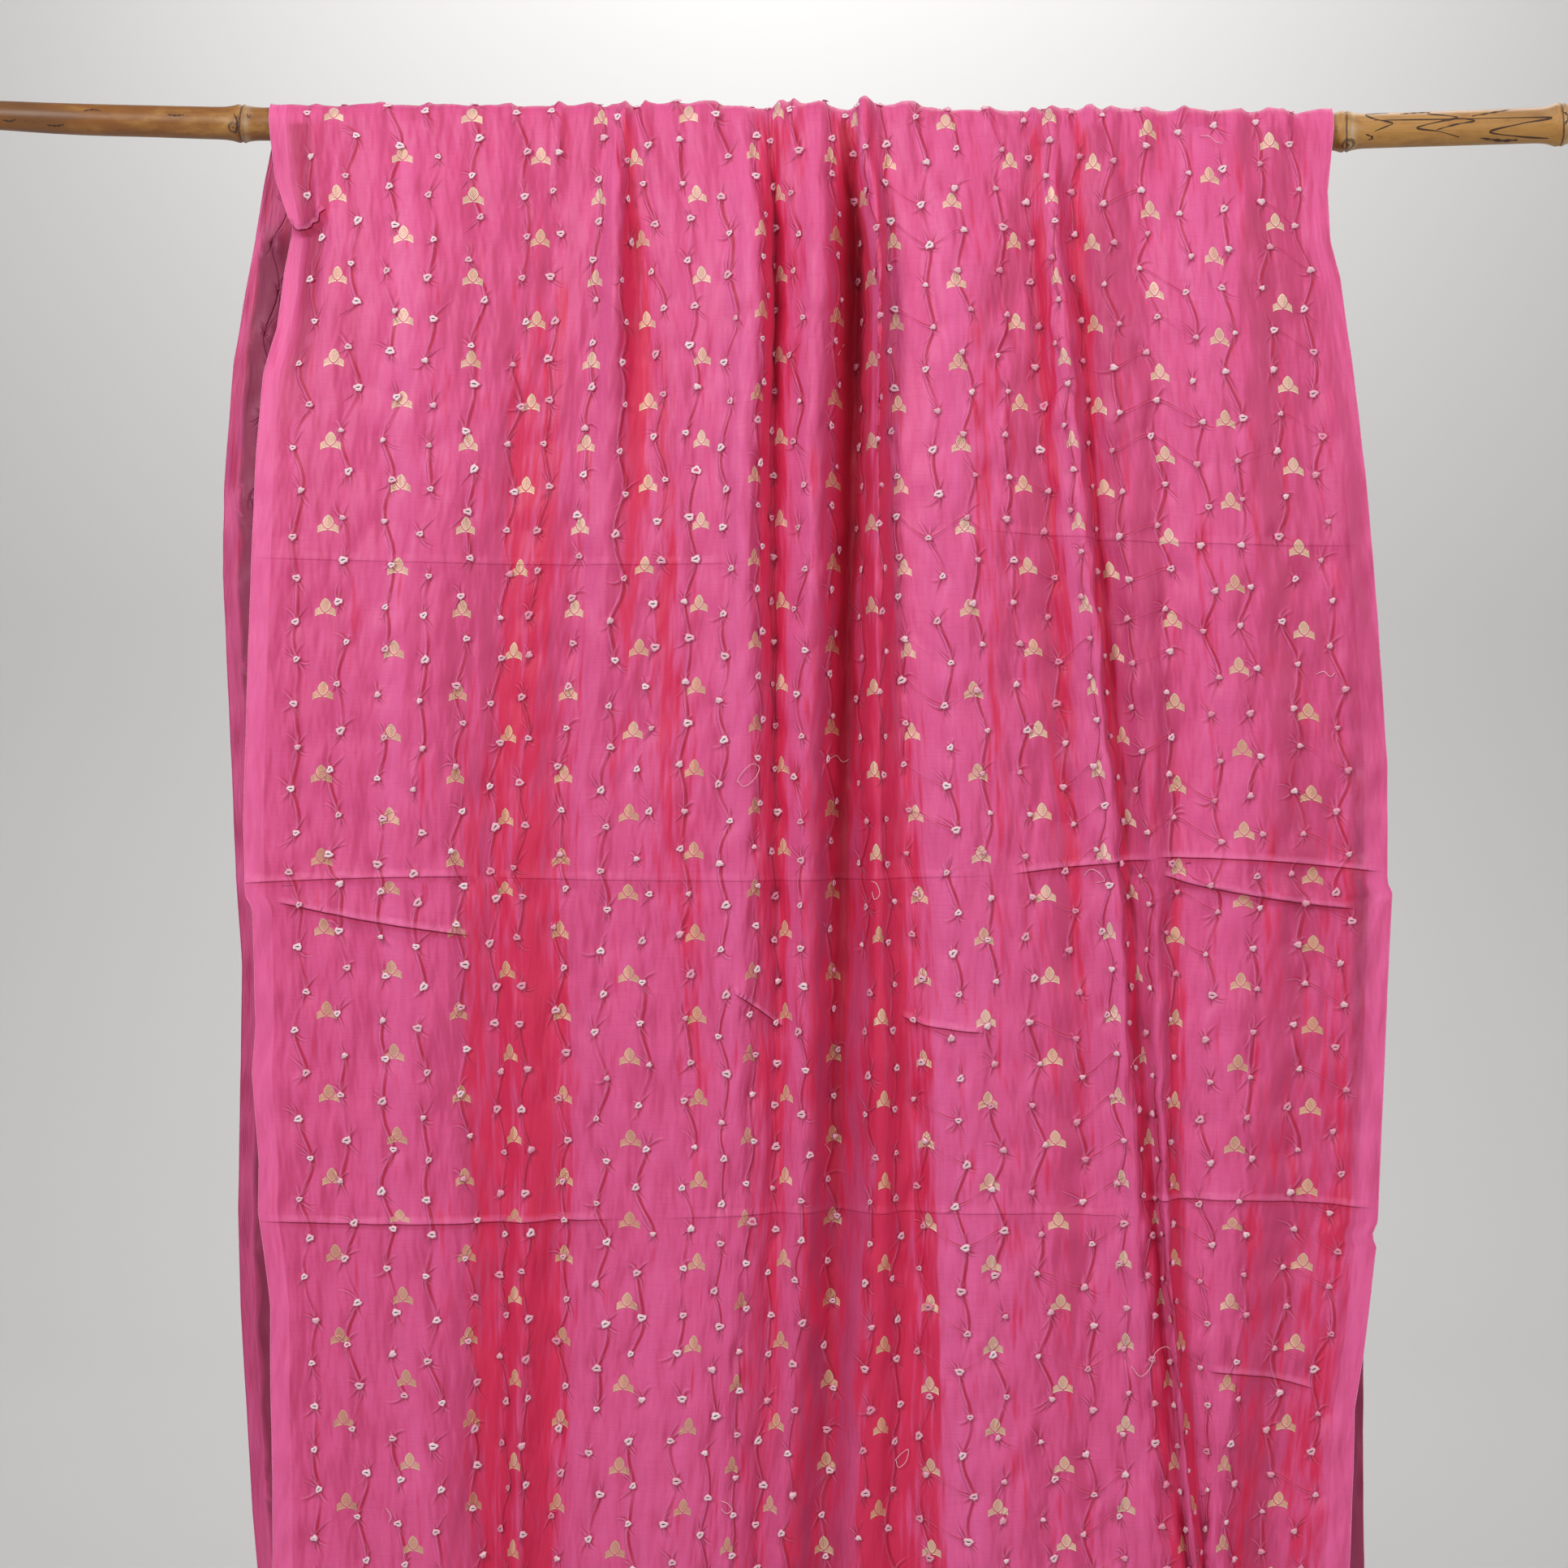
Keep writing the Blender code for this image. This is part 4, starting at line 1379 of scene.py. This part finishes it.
@dataclass
class TiedKnots:
    """The knots of one fall, each a small ring or bud of puckered silk, joined in one mesh."""

    seed: int = 3
    sides: int = 12
    flat_share: float = 0.012
    sizes: tuple[float, float] = (0.70, 1.04)
    buds_from: float = 13.0

    def _kinds(self, place: Array, chance: Array) -> Array:
        """Which kind each knot is: open ones on the left, mostly buds on the right."""
        bud = chance < np.where(place > self.buds_from, 0.75, 0.16)
        flat = chance > 1 - self.flat_share
        return np.where(flat, 2, np.where(bud, 1, 0))

    def build(self, name: str, sheet: "SilkSheet", rows: slice, material: bpy.types.Material
              ) -> bpy.types.Object:
        """Build the knots that lie in some of the grid's rows.

        Args:
            name: the piece's name.
            sheet: the hung cloth.
            rows: which grid rows this fall takes.
            material: the knots' material.

        Returns:
            The new piece.
        """
        at_row, at_column = sheet.knot_places(rows)
        middles = sheet.points[at_row, at_column]
        out = sheet.smooth_normals[at_row, at_column]
        place = sheet.place[at_row, at_column]
        crimson = sheet.crimson[at_row, at_column]
        count = len(middles)
        rng = np.random.default_rng(self.seed)
        kinds = self._kinds(place, rng.uniform(0, 1, count))
        rings = np.array([kind.value for kind in KnotKind])[kinds]
        right = unit(np.cross((0.0, 0.0, 1.0), out))
        up = np.cross(out, right)
        points = middles[:, None, None]
        for offset, way in zip(self._shapes(rings, rng), (right, up, out)):
            points = points + offset[..., None] * way[:, None, None]
        piece = add_piece(name, points.reshape(-1, 3), self._faces(count, rings.shape[1]), material)
        pale_side = 0.25 * (place > self.buds_from)
        # Rosier at random, on the right, and where the crimson share is high, which is partly painted
        # shade.
        rosy = np.clip(rng.uniform(-0.2, 0.6, count) + 0.5 * crimson + pale_side, 0, 1)
        marks = (rings[:, :, 2, None], rings[:, :, 3, None], rosy[:, None, None])
        store_marks(piece.data, "dye", *(np.broadcast_to(mark, points.shape[:3]) for mark in marks))
        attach(piece, "root")
        LOG.info("%s: %d knots", name, count)
        return piece

    def _shapes(self, rings: Array, rng: np.random.Generator) -> tuple[Array, Array, Array]:
        """How far the knots' points lie to the right, upwards and outwards of their middles, in mm.

        Args:
            rings: the rings of each knot.
            rng: the random draws, which make each knot a little different.
        """
        count = len(rings)
        ring_radius, ring_height = rings[:, :, 0, None], rings[:, :, 1, None]
        turn = np.arange(self.sides) / self.sides * math.tau
        angle = turn[None, None, :] + np.zeros((count, rings.shape[1], 1))
        phase = rng.uniform(0, math.tau, (4, count, 1, 1))
        size = rng.uniform(*self.sizes, (count, 1, 1))
        wrinkle = 1 + 0.15 * np.cos(3 * angle + phase[0]) + 0.12 * np.cos(5 * angle + phase[1])
        radius = ring_radius * wrinkle * size
        slit = 0.5 * np.sin(phase[2]) + 0.35
        inner = (ring_radius < 2).astype(float)
        across = radius * np.cos(angle - slit) * (1 + 0.55 * inner)
        over = radius * np.sin(angle - slit) * (1 - 0.45 * inner) * 0.80
        to_right = across * np.cos(slit) - over * np.sin(slit)
        upwards = across * np.sin(slit) + over * np.cos(slit)
        lumps = 0.3 * np.cos(4 * angle + phase[3]) * (ring_height > 0.4)
        return to_right, upwards, (ring_height + lumps) * size

    def _faces(self, count: int, rings: int) -> list[list[int]]:
        """The faces of all the knots: bands between rings, with the last ring drawn to a point."""
        one = ring_faces(np.arange(rings) * self.sides, self.sides)
        starts = np.arange(count) * rings * self.sides
        return (one[None] + starts[:, None, None]).reshape(-1, 4).tolist()


@dataclass
class SilkSheet:
    """The whole cloth, hung with its knots pinched in, and its two falls as pieces."""

    drape: Drape
    strings: KnotStrings
    seam_run: float = -38.0
    crimson_depth: float = 14.0

    def __post_init__(self) -> None:
        """Hang the cloth and work out its relief and its colours."""
        grid = self.strings.lay_grid()
        self.grid = grid
        shape = grid.across.shape
        flat_points, place, run = self.drape.hang(grid.across.ravel(), grid.along.ravel())
        smooth = flat_points.reshape(*shape, 3)
        self.place, self.run = place.reshape(shape), run.reshape(shape)
        self.smooth_normals = grid_normals(smooth)
        drop = np.maximum(self.run, 0)
        front = ease((self.run + 20) / 30)
        relief = grid.relief() * self._settled()
        relief += front * sum(tuck.relief(self.place, drop) for tuck in TUCKS)
        relief += self._ruffles(smooth[..., 0])
        self.points = smooth + relief[..., None] * self.smooth_normals
        self.normals = grid_normals(self.points)
        self.back_drop = np.maximum(-self.run - self.drape.over_pole, 0)
        # The crimson share: the silk's own crimson, and painted shade in the valleys of both falls.
        self.crimson = self._bands(CRIMSON_AND_SHADE_BANDS, drop) * front
        self.crimson += (1 - front) * self._back_valley_shade()
        self.deep = self._bands(DEEP_SHADE, drop) * front
        self.seam = int(np.argmin(np.abs(grid.along.mean(axis=1) - self.seam_run)))

    def _settled(self) -> Array:
        """Less relief where the cloth bears on the pole, so that it stays outside the bamboo."""
        on_pole = bell((self.run + self.drape.over_pole / 2) / 30)
        return 1 - 0.45 * on_pole

    def _ruffles(self, x: Array) -> Array:
        """The small peaks along the pole, in mm."""
        top = -self.drape.over_pole / 2
        down = np.exp(-np.maximum(self.run, 0) / 55)
        fade = np.where(self.run > top, down, bell((self.run - top) / 22))
        relief = np.zeros_like(x)
        for ruffle in RUFFLES:
            middle = ruffle.x + ruffle.lean * np.maximum(self.run, 0)
            relief += 1.5 * ruffle.height * bell((x - middle) / ruffle.half_width)
        return relief * fade

    def _bands(self, bands: tuple[Fold, ...], drop: Array) -> Array:
        """The strongest band of colour at each point of the front, from 0 to 1."""
        flat_place, flat_drop = self.place.ravel(), np.maximum(drop, 60).ravel()
        shares = [np.clip(band.depth(flat_place, flat_drop), 0, 1) for band in bands]
        return np.max(shares, axis=0).reshape(drop.shape)

    def _back_valley_shade(self) -> Array:
        """Painted shade: crimson in the valleys of the back fall, fuller where they are deeper."""
        places = self.place.ravel(), self.back_drop.ravel()
        depth = sum(fold.depth(*places) for fold in BACK_FOLDS).reshape(self.place.shape)
        return np.clip(-depth / self.crimson_depth, 0, 1)

    def knot_places(self, rows: slice) -> tuple[Array, Array]:
        """The grid rows and columns of the knots that lie in some of the rows."""
        all_rows = np.arange(1, self.strings.rows + 1) * self.strings.steps_along
        all_columns = np.arange(1, self.strings.strings + 1) * self.strings.steps_across
        first, last, _ = rows.indices(self.points.shape[0])
        kept = all_rows[(all_rows >= first + 2) & (all_rows < last - 2)]
        at_row, at_column = np.meshgrid(kept, all_columns, indexing="ij")
        return at_row.ravel(), at_column.ravel()

    def fall(self, name: str, rows: slice, material: bpy.types.Material) -> bpy.types.Object:
        """Build one fall of the cloth as a piece.

        Args:
            name: the piece's name.
            rows: the grid rows that it takes.
            material: the silk.

        Returns:
            The new piece, with what its material reads stored on its points.
        """
        grid = self.grid
        points = self.points[rows]
        count, columns = points.shape[:2]
        piece = add_piece(name, points.reshape(-1, 3), grid_faces(count, columns), material)
        mesh = piece.data
        flat_map(mesh, grid.across[rows].ravel(), grid.along[rows].ravel())
        # How far each face turns right, away from the key light: the silk paints such faces crimson as
        # painted shade, and those turned left lighter as painted light.
        facing = np.where(self.run > -self.drape.over_pole / 2, 1.0, -1.0)
        turn = self.normals[..., 0] * facing
        none = np.zeros_like(turn)
        pinch = grid.pinch * ease((10.5 - np.abs(grid.from_line)) / 5)
        cross = grid.cross * ease((8.0 - np.abs(grid.from_row)) / 4)
        off, strength = self._creases()
        # These marks carry painted light and shade: the crimson and deep-shade shares, how far each
        # face turns right, the darker strips of single silk and the light and shade bands.
        marks = {
            "tone": (self.crimson, self.deep, turn),
            "pinch": (grid.from_line, pinch, cross),
            "cell": (grid.cell_across, grid.cell_along, none),
            "layer": (self._sheer_shade(), self._light(), none),
            "crease": (off, strength, np.abs(off)),
        }
        for key, values in marks.items():
            store_marks(mesh, key, *(value[rows] for value in values))
        mesh.normals_split_custom_set_from_vertices(self.normals[rows].reshape(-1, 3).tolist())
        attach(piece, "root")
        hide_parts("cloth")
        LOG.info("%s: %d by %d points", name, count, columns)
        return piece

    def _sheer_shade(self) -> Array:
        """Painted shade where one layer of silk shows beyond the other, and in a strip near the front's
        right edge, from 0 to 1.
        """
        back, drop = self.run < -self.drape.over_pole, self.back_drop
        strip = ease((self.place - 0.25) / 0.04) * ease((1.6 - self.place) / 0.3)
        right = ease((self.place - 18.4) / 0.4) * ease((drop - 900) / 60)
        front = bell((self.place - 19.62) / 0.09) * bell((self.run - 660) / 170) * 0.75
        return np.where(back, np.maximum(strip * ease((drop - 70) / 30), right) * 0.8, front)

    def _light(self) -> Array:
        """Where the front catches more light, up to 1, or less, down to -1."""
        drop = np.maximum(self.run, 0)
        return (self._bands(LIGHT_BANDS, drop) - self._bands(PAINTED_SHADE_BANDS, drop)) * (self.run > 0)

    def _creases(self) -> tuple[Array, Array]:
        """How far each point lies below the nearest tuck's line, in mm, and the tuck's strength."""
        nearest = np.full(self.run.shape, 30.0)
        strength = np.zeros_like(nearest)
        for tuck in TUCKS:
            off, inside = tuck.line(self.place, self.run)
            weight = inside * min(tuck.height / 4, 1) * ease((16 - np.abs(off)) / 7) * (self.run > 0)
            stronger = weight > strength
            nearest = np.where(stronger, off, nearest)
            strength = np.where(stronger, weight, strength)
        return nearest, strength

    def nearest(self, x: float, drop: float) -> tuple[Array, Array]:
        """The front cloth's point and normal that stand nearest to a place in the front view."""
        front = self.points[: self.seam]
        off = (front[..., 0] - x) ** 2 + (front[..., 2] + drop) ** 2
        off = off + np.where(self.normals[: self.seam, :, 1] < 0, 0, 1e6)
        row, column = np.unravel_index(np.argmin(off), off.shape)
        return front[row, column], self.smooth_normals[row, column]


@dataclass
class RolledEdges:
    """The thin rolled edges of the cloth: two selvedges and two hems."""

    radius: float = 0.42
    hem_radius: float = 0.8
    sides: int = 5

    def build(self, sheet: SilkSheet, material: bpy.types.Material) -> list[bpy.types.Object]:
        """Build the four edges as pieces."""
        routes = {
            "selvedge_left": (sheet.points[:, 0], self.radius),
            "selvedge_right": (sheet.points[:, -1], self.radius),
            "hem_front": (sheet.points[0], self.hem_radius),
            "hem_back": (sheet.points[-1], self.hem_radius),
        }
        pieces = []
        for name, (route, radius) in routes.items():
            piece = add_piece(name, *tube(route, radius, self.sides), material)
            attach(piece, "root")
            pieces.append(piece)
        LOG.info("rolled edges: %d", len(pieces))
        return pieces


@dataclass(frozen=True)
class ThreadEnd:
    """A loose end of tying thread, as places in the front view, and how far it stands off."""

    route: tuple[tuple[float, float], ...]
    stand: float = 2.0


@dataclass
class LooseThreads:
    """The ends of tying thread that were left on the front, joined in one mesh.

    The routes are (x, drop) in mm, as they are seen from in front.
    """

    radius: float = 0.34
    sides: int = 5
    steps: int = 40
    ends: tuple[ThreadEnd, ...] = (
        ThreadEnd(((-38, 538), (-34, 530), (-26, 523), (-20, 526), (-24, 535), (-32, 541), (-37, 537))),
        ThreadEnd(((38, 518), (43, 516), (48, 521), (53, 519)), 1.6),
        ThreadEnd(((44, 191), (46, 186), (49, 180)), 1.5),
        ThreadEnd(((70, 617), (75, 620), (77, 628), (73, 632), (71, 626)), 1.8),
        ThreadEnd(((33, 832), (36, 836), (38, 840)), 1.5),
        ThreadEnd(((280, 768), (288, 760), (294, 757)), 1.6),
        ThreadEnd(((243, 613), (248, 608), (255, 611), (259, 617), (252, 619)), 2.2),
        ThreadEnd(((431, 450), (437, 448), (442, 452), (446, 449)), 1.6),
        ThreadEnd(((281, 1010), (288, 1018), (296, 1012), (301, 1000), (311, 996), (317, 1003),
                   (315, 1010)), 2.4),
        ThreadEnd(((90, 1090), (95, 1084), (101, 1080), (99, 1090), (93, 1095), (91, 1088)), 2.4),
        ThreadEnd(((-51, 1120), (-46, 1122), (-42, 1127), (-47, 1130), (-51, 1126)), 1.8),
        ThreadEnd(((340, 10), (347, 11), (352, 15), (357, 17)), 2.2),
        ThreadEnd(((-322, 1125), (-318, 1131), (-320, 1137)), 1.5),
    )

    def build(self, sheet: SilkSheet, material: bpy.types.Material) -> bpy.types.Object:
        """Build the thread ends as one piece."""
        tubes = []
        for end in self.ends:
            at, across, drop = drawn(end.route, self.steps)
            route = []
            for x, down, share in zip(across, drop, at):
                foot, out = sheet.nearest(x, down)
                lift = 0.8 + end.stand * math.sin(math.pi * share)
                route.append([x, foot[1] + out[1] * lift, -down])
            tubes.append(tube(self._evened(np.array(route)), self.radius, self.sides))
        piece = add_piece("loose_threads", *joined(tubes), material)
        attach(piece, "root")
        LOG.info("loose threads: %d", len(self.ends))
        return piece

    @staticmethod
    def _evened(route: Array) -> Array:
        """The route with the jumps in its depth smoothed away."""
        depth = route[:, 1].copy()
        for _ in range(8):
            depth[1:-1] = (depth[:-2] + 2 * depth[1:-1] + depth[2:]) / 4
        route[:, 1] = depth
        return route


@dataclass(frozen=True)
class BranchScar:
    """The stub of a branch on the bamboo: its place, its turn round the pole and its sizes."""

    x: float
    turn: float
    radius: float
    height: float


@dataclass
class BambooPole:
    """The bamboo: a fine skin with node rings, branch scars and the dark tracks on it."""

    shape: BambooShape
    sides: int = 72
    ring_step: float = 4.0
    fine_step: float = 0.9
    fine_reach: float = 13.0
    wall: float = 4.5
    bore_depth: float = 12.0
    scars: tuple[BranchScar, ...] = (
        BranchScar(-450.5, math.pi + 0.42, 6.0, 1.6),
        BranchScar(-438.0, math.pi - 0.28, 2.6, 0.8),
        BranchScar(-264.0, 0.2, 6.0, 1.5),
        BranchScar(97.0, math.pi + 0.5, 6.0, 1.5),
        BranchScar(278.0, 0.3, 6.0, 1.5),
        BranchScar(462.0, math.pi + 0.86, 7.5, 2.6),
        BranchScar(637.0, 0.2, 7.0, 1.8),
    )
    tracks: tuple[tuple[tuple[float, float], ...], ...] = (
        ((496, 11.5), (484, 11.0), (477, 9.5), (483, 5.7), (491, 3.7), (498, 1.5), (493, -1.0),
         (483, -5.0)),
        ((530, 12.2), (517, 11.5), (505, 10.3)),
        ((531, 12.8), (528, 10.3), (541, 8.6), (551, 6.3), (534, 2.4), (518, -2.3), (536, -5.0),
         (553, -9.0)),
        ((551, 6.3), (565, 3.7), (549, 0.4), (534, -3.7)),
        ((595, 14.0), (580, 11.0), (563, 7.7)),
        ((483, 4.3), (540, 5.0), (625, 6.3), (604, 1.4), (578, -5.0), (600, -8.2), (627, -9.6)),
        ((476, -7.2), (482, -9.6), (479, -11.4)),
        ((570, -9.5), (588, -11.0), (602, -10.6)),
        ((636, 12.0), (641, 6.0), (638, 0.0)),
        ((-450, 9.5), (-447, 2.0), (-449, -6.0)),
        ((-574, 12.0), (-566, 13.4), (-560, 12.2)),
        ((-640, 5.0), (-634, 4.0), (-629, 5.5)),
        ((-505, 9.0), (-498, 8.2), (-491, 8.9)),
        ((-604, 1.0), (-596, 0.4), (-590, 1.2)),
    )
    track_width: float = 1.8

    def _ring_places(self) -> Array:
        """Where the skin's rings stand, close together around the nodes."""
        low, high = self.shape.stations[0].x, self.shape.stations[-1].x
        places = set(np.arange(low, high, self.ring_step).tolist()) | {float(high)}
        for node in self.shape.nodes:
            places |= set(np.arange(node.x - self.fine_reach, node.x + self.fine_reach, self.fine_step))
        kept = [place for place in sorted(places) if low <= place <= high]
        spaced = [kept[0]]
        for place in kept[1:]:
            if place - spaced[-1] > self.fine_step * 0.4:
                spaced.append(place)
        return np.array(spaced)

    def _skin(self, x: Array, turn: Array) -> tuple[Array, Array, Array, Array]:
        """The skin's radius at these places, with how dark, pale and scarred it is there."""
        radius = self.shape.radius(x)
        dark, pale, scarred = (np.zeros_like(radius) for _ in range(3))
        uneven = SmoothField(21, 40, 1.1).at(x, turn * 2)
        for node in self.shape.nodes:
            off = x - node.x + 0.7 * np.sin(turn * 2 + node.x)
            radius = radius + 0.75 * bell((off - 2.6) / 1.1) - 0.85 * bell((off - 0.6) / 0.9)
            radius = radius + 0.5 * bell((off + 2.4) / 2.2)
            dark = np.maximum(dark, bell((off - 0.7) / 0.8))
            pale = np.maximum(pale, bell((off - 5.5) / 3.0) * (0.6 + 0.4 * uneven))
        for scar in self.scars:
            wrap = (turn - scar.turn + math.pi) % math.tau - math.pi
            off = np.hypot(x - scar.x, wrap * radius) / scar.radius
            radius = radius + scar.height * (bell(off * 1.25) - 0.55 * bell(off * 3.2))
            scarred = np.maximum(scarred, bell((off - 0.62) / 0.2) + bell(off / 0.22))
        radius = radius + 0.12 * uneven
        return radius, dark, pale, np.clip(scarred, 0, 1)

    def build(self, material: bpy.types.Material, track_material: bpy.types.Material
              ) -> list[bpy.types.Object]:
        """Build the culm and its dark tracks as pieces."""
        places = self._ring_places()
        turn = np.arange(self.sides) / self.sides * math.tau
        x = np.repeat(places, self.sides)
        angle = np.tile(turn, len(places))
        radius, dark, pale, scarred = self._skin(x, angle)
        axis = self.shape.axis_height(x)
        outside = np.stack([x, radius * np.cos(angle), axis + radius * np.sin(angle)], axis=1)
        points, marks = [outside], [np.stack([dark, pale, scarred], axis=1)]
        starts = np.arange(len(places)) * self.sides
        faces = ring_faces(starts, self.sides)[:, [0, 3, 2, 1]].tolist()
        start = len(outside)
        for end, edge, inwards in ((places[0], 0, 1), (places[-1], starts[-1], -1)):
            bore = self.shape.radius(end) - self.wall
            height = self.shape.axis_height(end)
            rings = [edge]
            # Painted shade inside the bore, darker deeper in.
            for depth, shade in ((0.0, 0.35), (self.bore_depth, 0.8)):
                ring_x = np.full(self.sides, end + inwards * depth)
                ring = (ring_x, bore * np.cos(turn), height + bore * np.sin(turn))
                points.append(np.stack(ring, axis=1))
                marks.append(np.tile((shade, 0.0, 0.0), (self.sides, 1)))
                rings.append(start)
                start += self.sides
            floor = list(range(rings[-1], start))
            inside = [*ring_faces(rings, self.sides).tolist(), floor]
            faces += [face[::inwards] for face in inside]
        culm = add_piece("bamboo_culm", np.concatenate(points), faces, material)
        store_marks(culm.data, "ring", *np.concatenate(marks).T)
        culm.data.set_sharp_from_angle(angle=math.radians(50))
        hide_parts("bamboo_pole")
        tracks = self._tracks(track_material)
        for piece in (culm, tracks):
            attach(piece, "root")
        LOG.info("bamboo: %d rings, %d tracks", len(places), len(self.tracks))
        return [culm, tracks]

    def _tracks(self, material: bpy.types.Material) -> bpy.types.Object:
        """The dark tracks on the skin, as thin strips that lie on it."""
        strips = []
        for route in self.tracks:
            at, x, z = drawn(route, 12 * len(route))
            ahead = unit(np.stack([np.gradient(x), np.gradient(z)], axis=1))
            swell = self.track_width / 2 * np.sin(math.pi * (0.06 + 0.88 * at)) ** 0.5
            swell = swell * (0.8 + 0.3 * np.sin(at * 23 + route[0][0]))
            sides = []
            for way in (-1, 0, 1):
                side_x = x - way * swell * ahead[:, 1]
                side_z = z + way * swell * ahead[:, 0]
                sides.append(self._on_skin(side_x, side_z, 0.10 if way == 0 else 0.02))
            strips.append((np.stack(sides, axis=1).reshape(-1, 3), grid_faces(len(at), 3)))
        return add_piece("bamboo_tracks", *joined(strips), material)

    def _on_skin(self, x: Array, z: Array, lift: float) -> Array:
        """Points on the front of the skin at these places in the front view."""
        axis = self.shape.axis_height(x)
        turn = math.pi - np.arcsin(np.clip((z - axis) / self.shape.radius(x), -0.97, 0.97))
        radius = self._skin(x, turn)[0] + lift
        return np.stack([x, radius * np.cos(turn), axis + radius * np.sin(turn)], axis=1)


@dataclass
class Studio:
    """The plain floor and backdrop, the soft lights and the camera, in metres."""

    camera_distance: float = 2.6
    camera_height: float = -0.539
    view_half_width: float = 0.6449
    sensor: float = 36.0
    floor_height: float = -1.72
    wall_distance: float = 5.4
    cove: float = 1.6
    half_width: float = 5.0
    floor_start: float = -6.0
    wall_top: float = 3.0

    def build(self) -> None:
        """Build the studio and aim the camera."""
        self._backdrop()
        self._lights()
        self._camera()

    def _backdrop(self) -> None:
        """One sheet: the floor, a round cove and the wall behind."""
        profile = [(self.floor_start, self.floor_height)]
        for step in range(13):
            turn = math.pi / 2 * step / 12
            profile.append((
                self.wall_distance - self.cove + self.cove * math.sin(turn),
                self.floor_height + self.cove - self.cove * math.cos(turn),
            ))
        profile.append((self.wall_distance, self.wall_top))
        points = [(side * self.half_width, y, z) for side in (-1, 1) for y, z in profile]
        count = len(profile)
        faces = [(step, step + count, step + count + 1, step + 1) for step in range(count - 1)]
        sheet = add_piece("backdrop", np.array(points) / MM, np.array(faces), StudioFinish().material())

    def _light(self, name: str, place: Colour, target: Colour, size: float, power: float,
               colour: Colour = (1.0, 1.0, 1.0)) -> None:
        """Add a square area light at a place, facing a target."""
        data = bpy.data.lights.new(name, "AREA")
        data.shape = "SQUARE"
        data.size = size
        data.energy = power
        data.color = colour
        light = bpy.data.objects.new(name, data)
        light.location = place
        light.rotation_euler = (Vector(target) - Vector(place)).to_track_quat("-Z", "Y").to_euler()
        bpy.context.scene.collection.objects.link(light)

    def _lights(self) -> None:
        """A key from the upper left, a fill, lamps above, behind and on the wall, and a dim room."""
        middle = (0.0, 0.0, -0.55)
        self._light("key", (-1.8, -2.5, 0.9), middle, 1.1, 56.0, (1.0, 0.985, 0.96))
        self._light("fill", (2.3, -2.4, 0.5), (0.2, 0.0, -0.4), 1.8, 37.0)
        self._light("top", (0.3, -0.9, 1.9), (0.0, 0.0, -0.2), 1.2, 14.0)
        self._light("behind", (0.9, 1.2, 1.7), (0.0, 0.2, -0.6), 1.0, 14.0)
        self._light("wall", (0.0, 3.2, 2.8), (0.0, self.wall_distance, -0.6), 2.0, 120.0)
        world = bpy.data.worlds.new("room")
        world.use_nodes = True
        background = world.node_tree.nodes["Background"]
        background.inputs["Color"].default_value = (0.9, 0.93, 1.0, 1.0)
        background.inputs["Strength"].default_value = 0.29
        bpy.context.scene.world = world
        bpy.context.scene.view_settings.view_transform = "Standard"

    def _camera(self) -> None:
        """A long lens, level, square to the cloth."""
        data = bpy.data.cameras.new("camera")
        data.sensor_width = self.sensor
        data.lens = self.sensor / 2 * self.camera_distance / self.view_half_width
        camera = bpy.data.objects.new("camera", data)
        camera.location = (0.0, -self.camera_distance, self.camera_height)
        camera.rotation_euler = (math.pi / 2, 0.0, 0.0)
        bpy.context.scene.collection.objects.link(camera)
        bpy.context.scene.camera = camera


def main() -> None:
    """Build the bamboo, the cloth and everything on it, and the studio around them."""
    logging.basicConfig(level=logging.INFO, format="%(name)s: %(message)s")
    bamboo = BambooShape()
    track_finish = ThreadFinish("dark_track", (0.045, 0.022, 0.012), (0.10, 0.05, 0.025))
    BambooPole(bamboo).build(BambooFinish().material(), track_finish.material())

    drape = Drape(bamboo)
    sheet = SilkSheet(drape, KnotStrings(drape))
    silk, tied = SilkFinish().material(), KnotFinish().material()
    edging = ThreadFinish("edging", (0.90, 0.30, 0.50), (0.75, 0.13, 0.33)).material()
    tying = ThreadFinish("tying_thread", (0.86, 0.55, 0.60), (0.72, 0.30, 0.38)).material()
    edges = RolledEdges().build(sheet, edging)
    threads = LooseThreads().build(sheet, tying)
    falls = {
        "front": (slice(0, sheet.seam + 1), drape.front_fall - sheet.seam_run, [*edges, threads]),
        "back": (slice(sheet.seam, None), drape.back_fall + drape.over_pole + sheet.seam_run, []),
    }
    for side, (rows, length, extras) in falls.items():
        fall = sheet.fall(f"silk_{side}", rows, silk)
        knots = TiedKnots().build(f"knots_{side}", sheet, rows, tied)
        length * MM
    Studio().build()


if __name__ == "__main__":
    main()
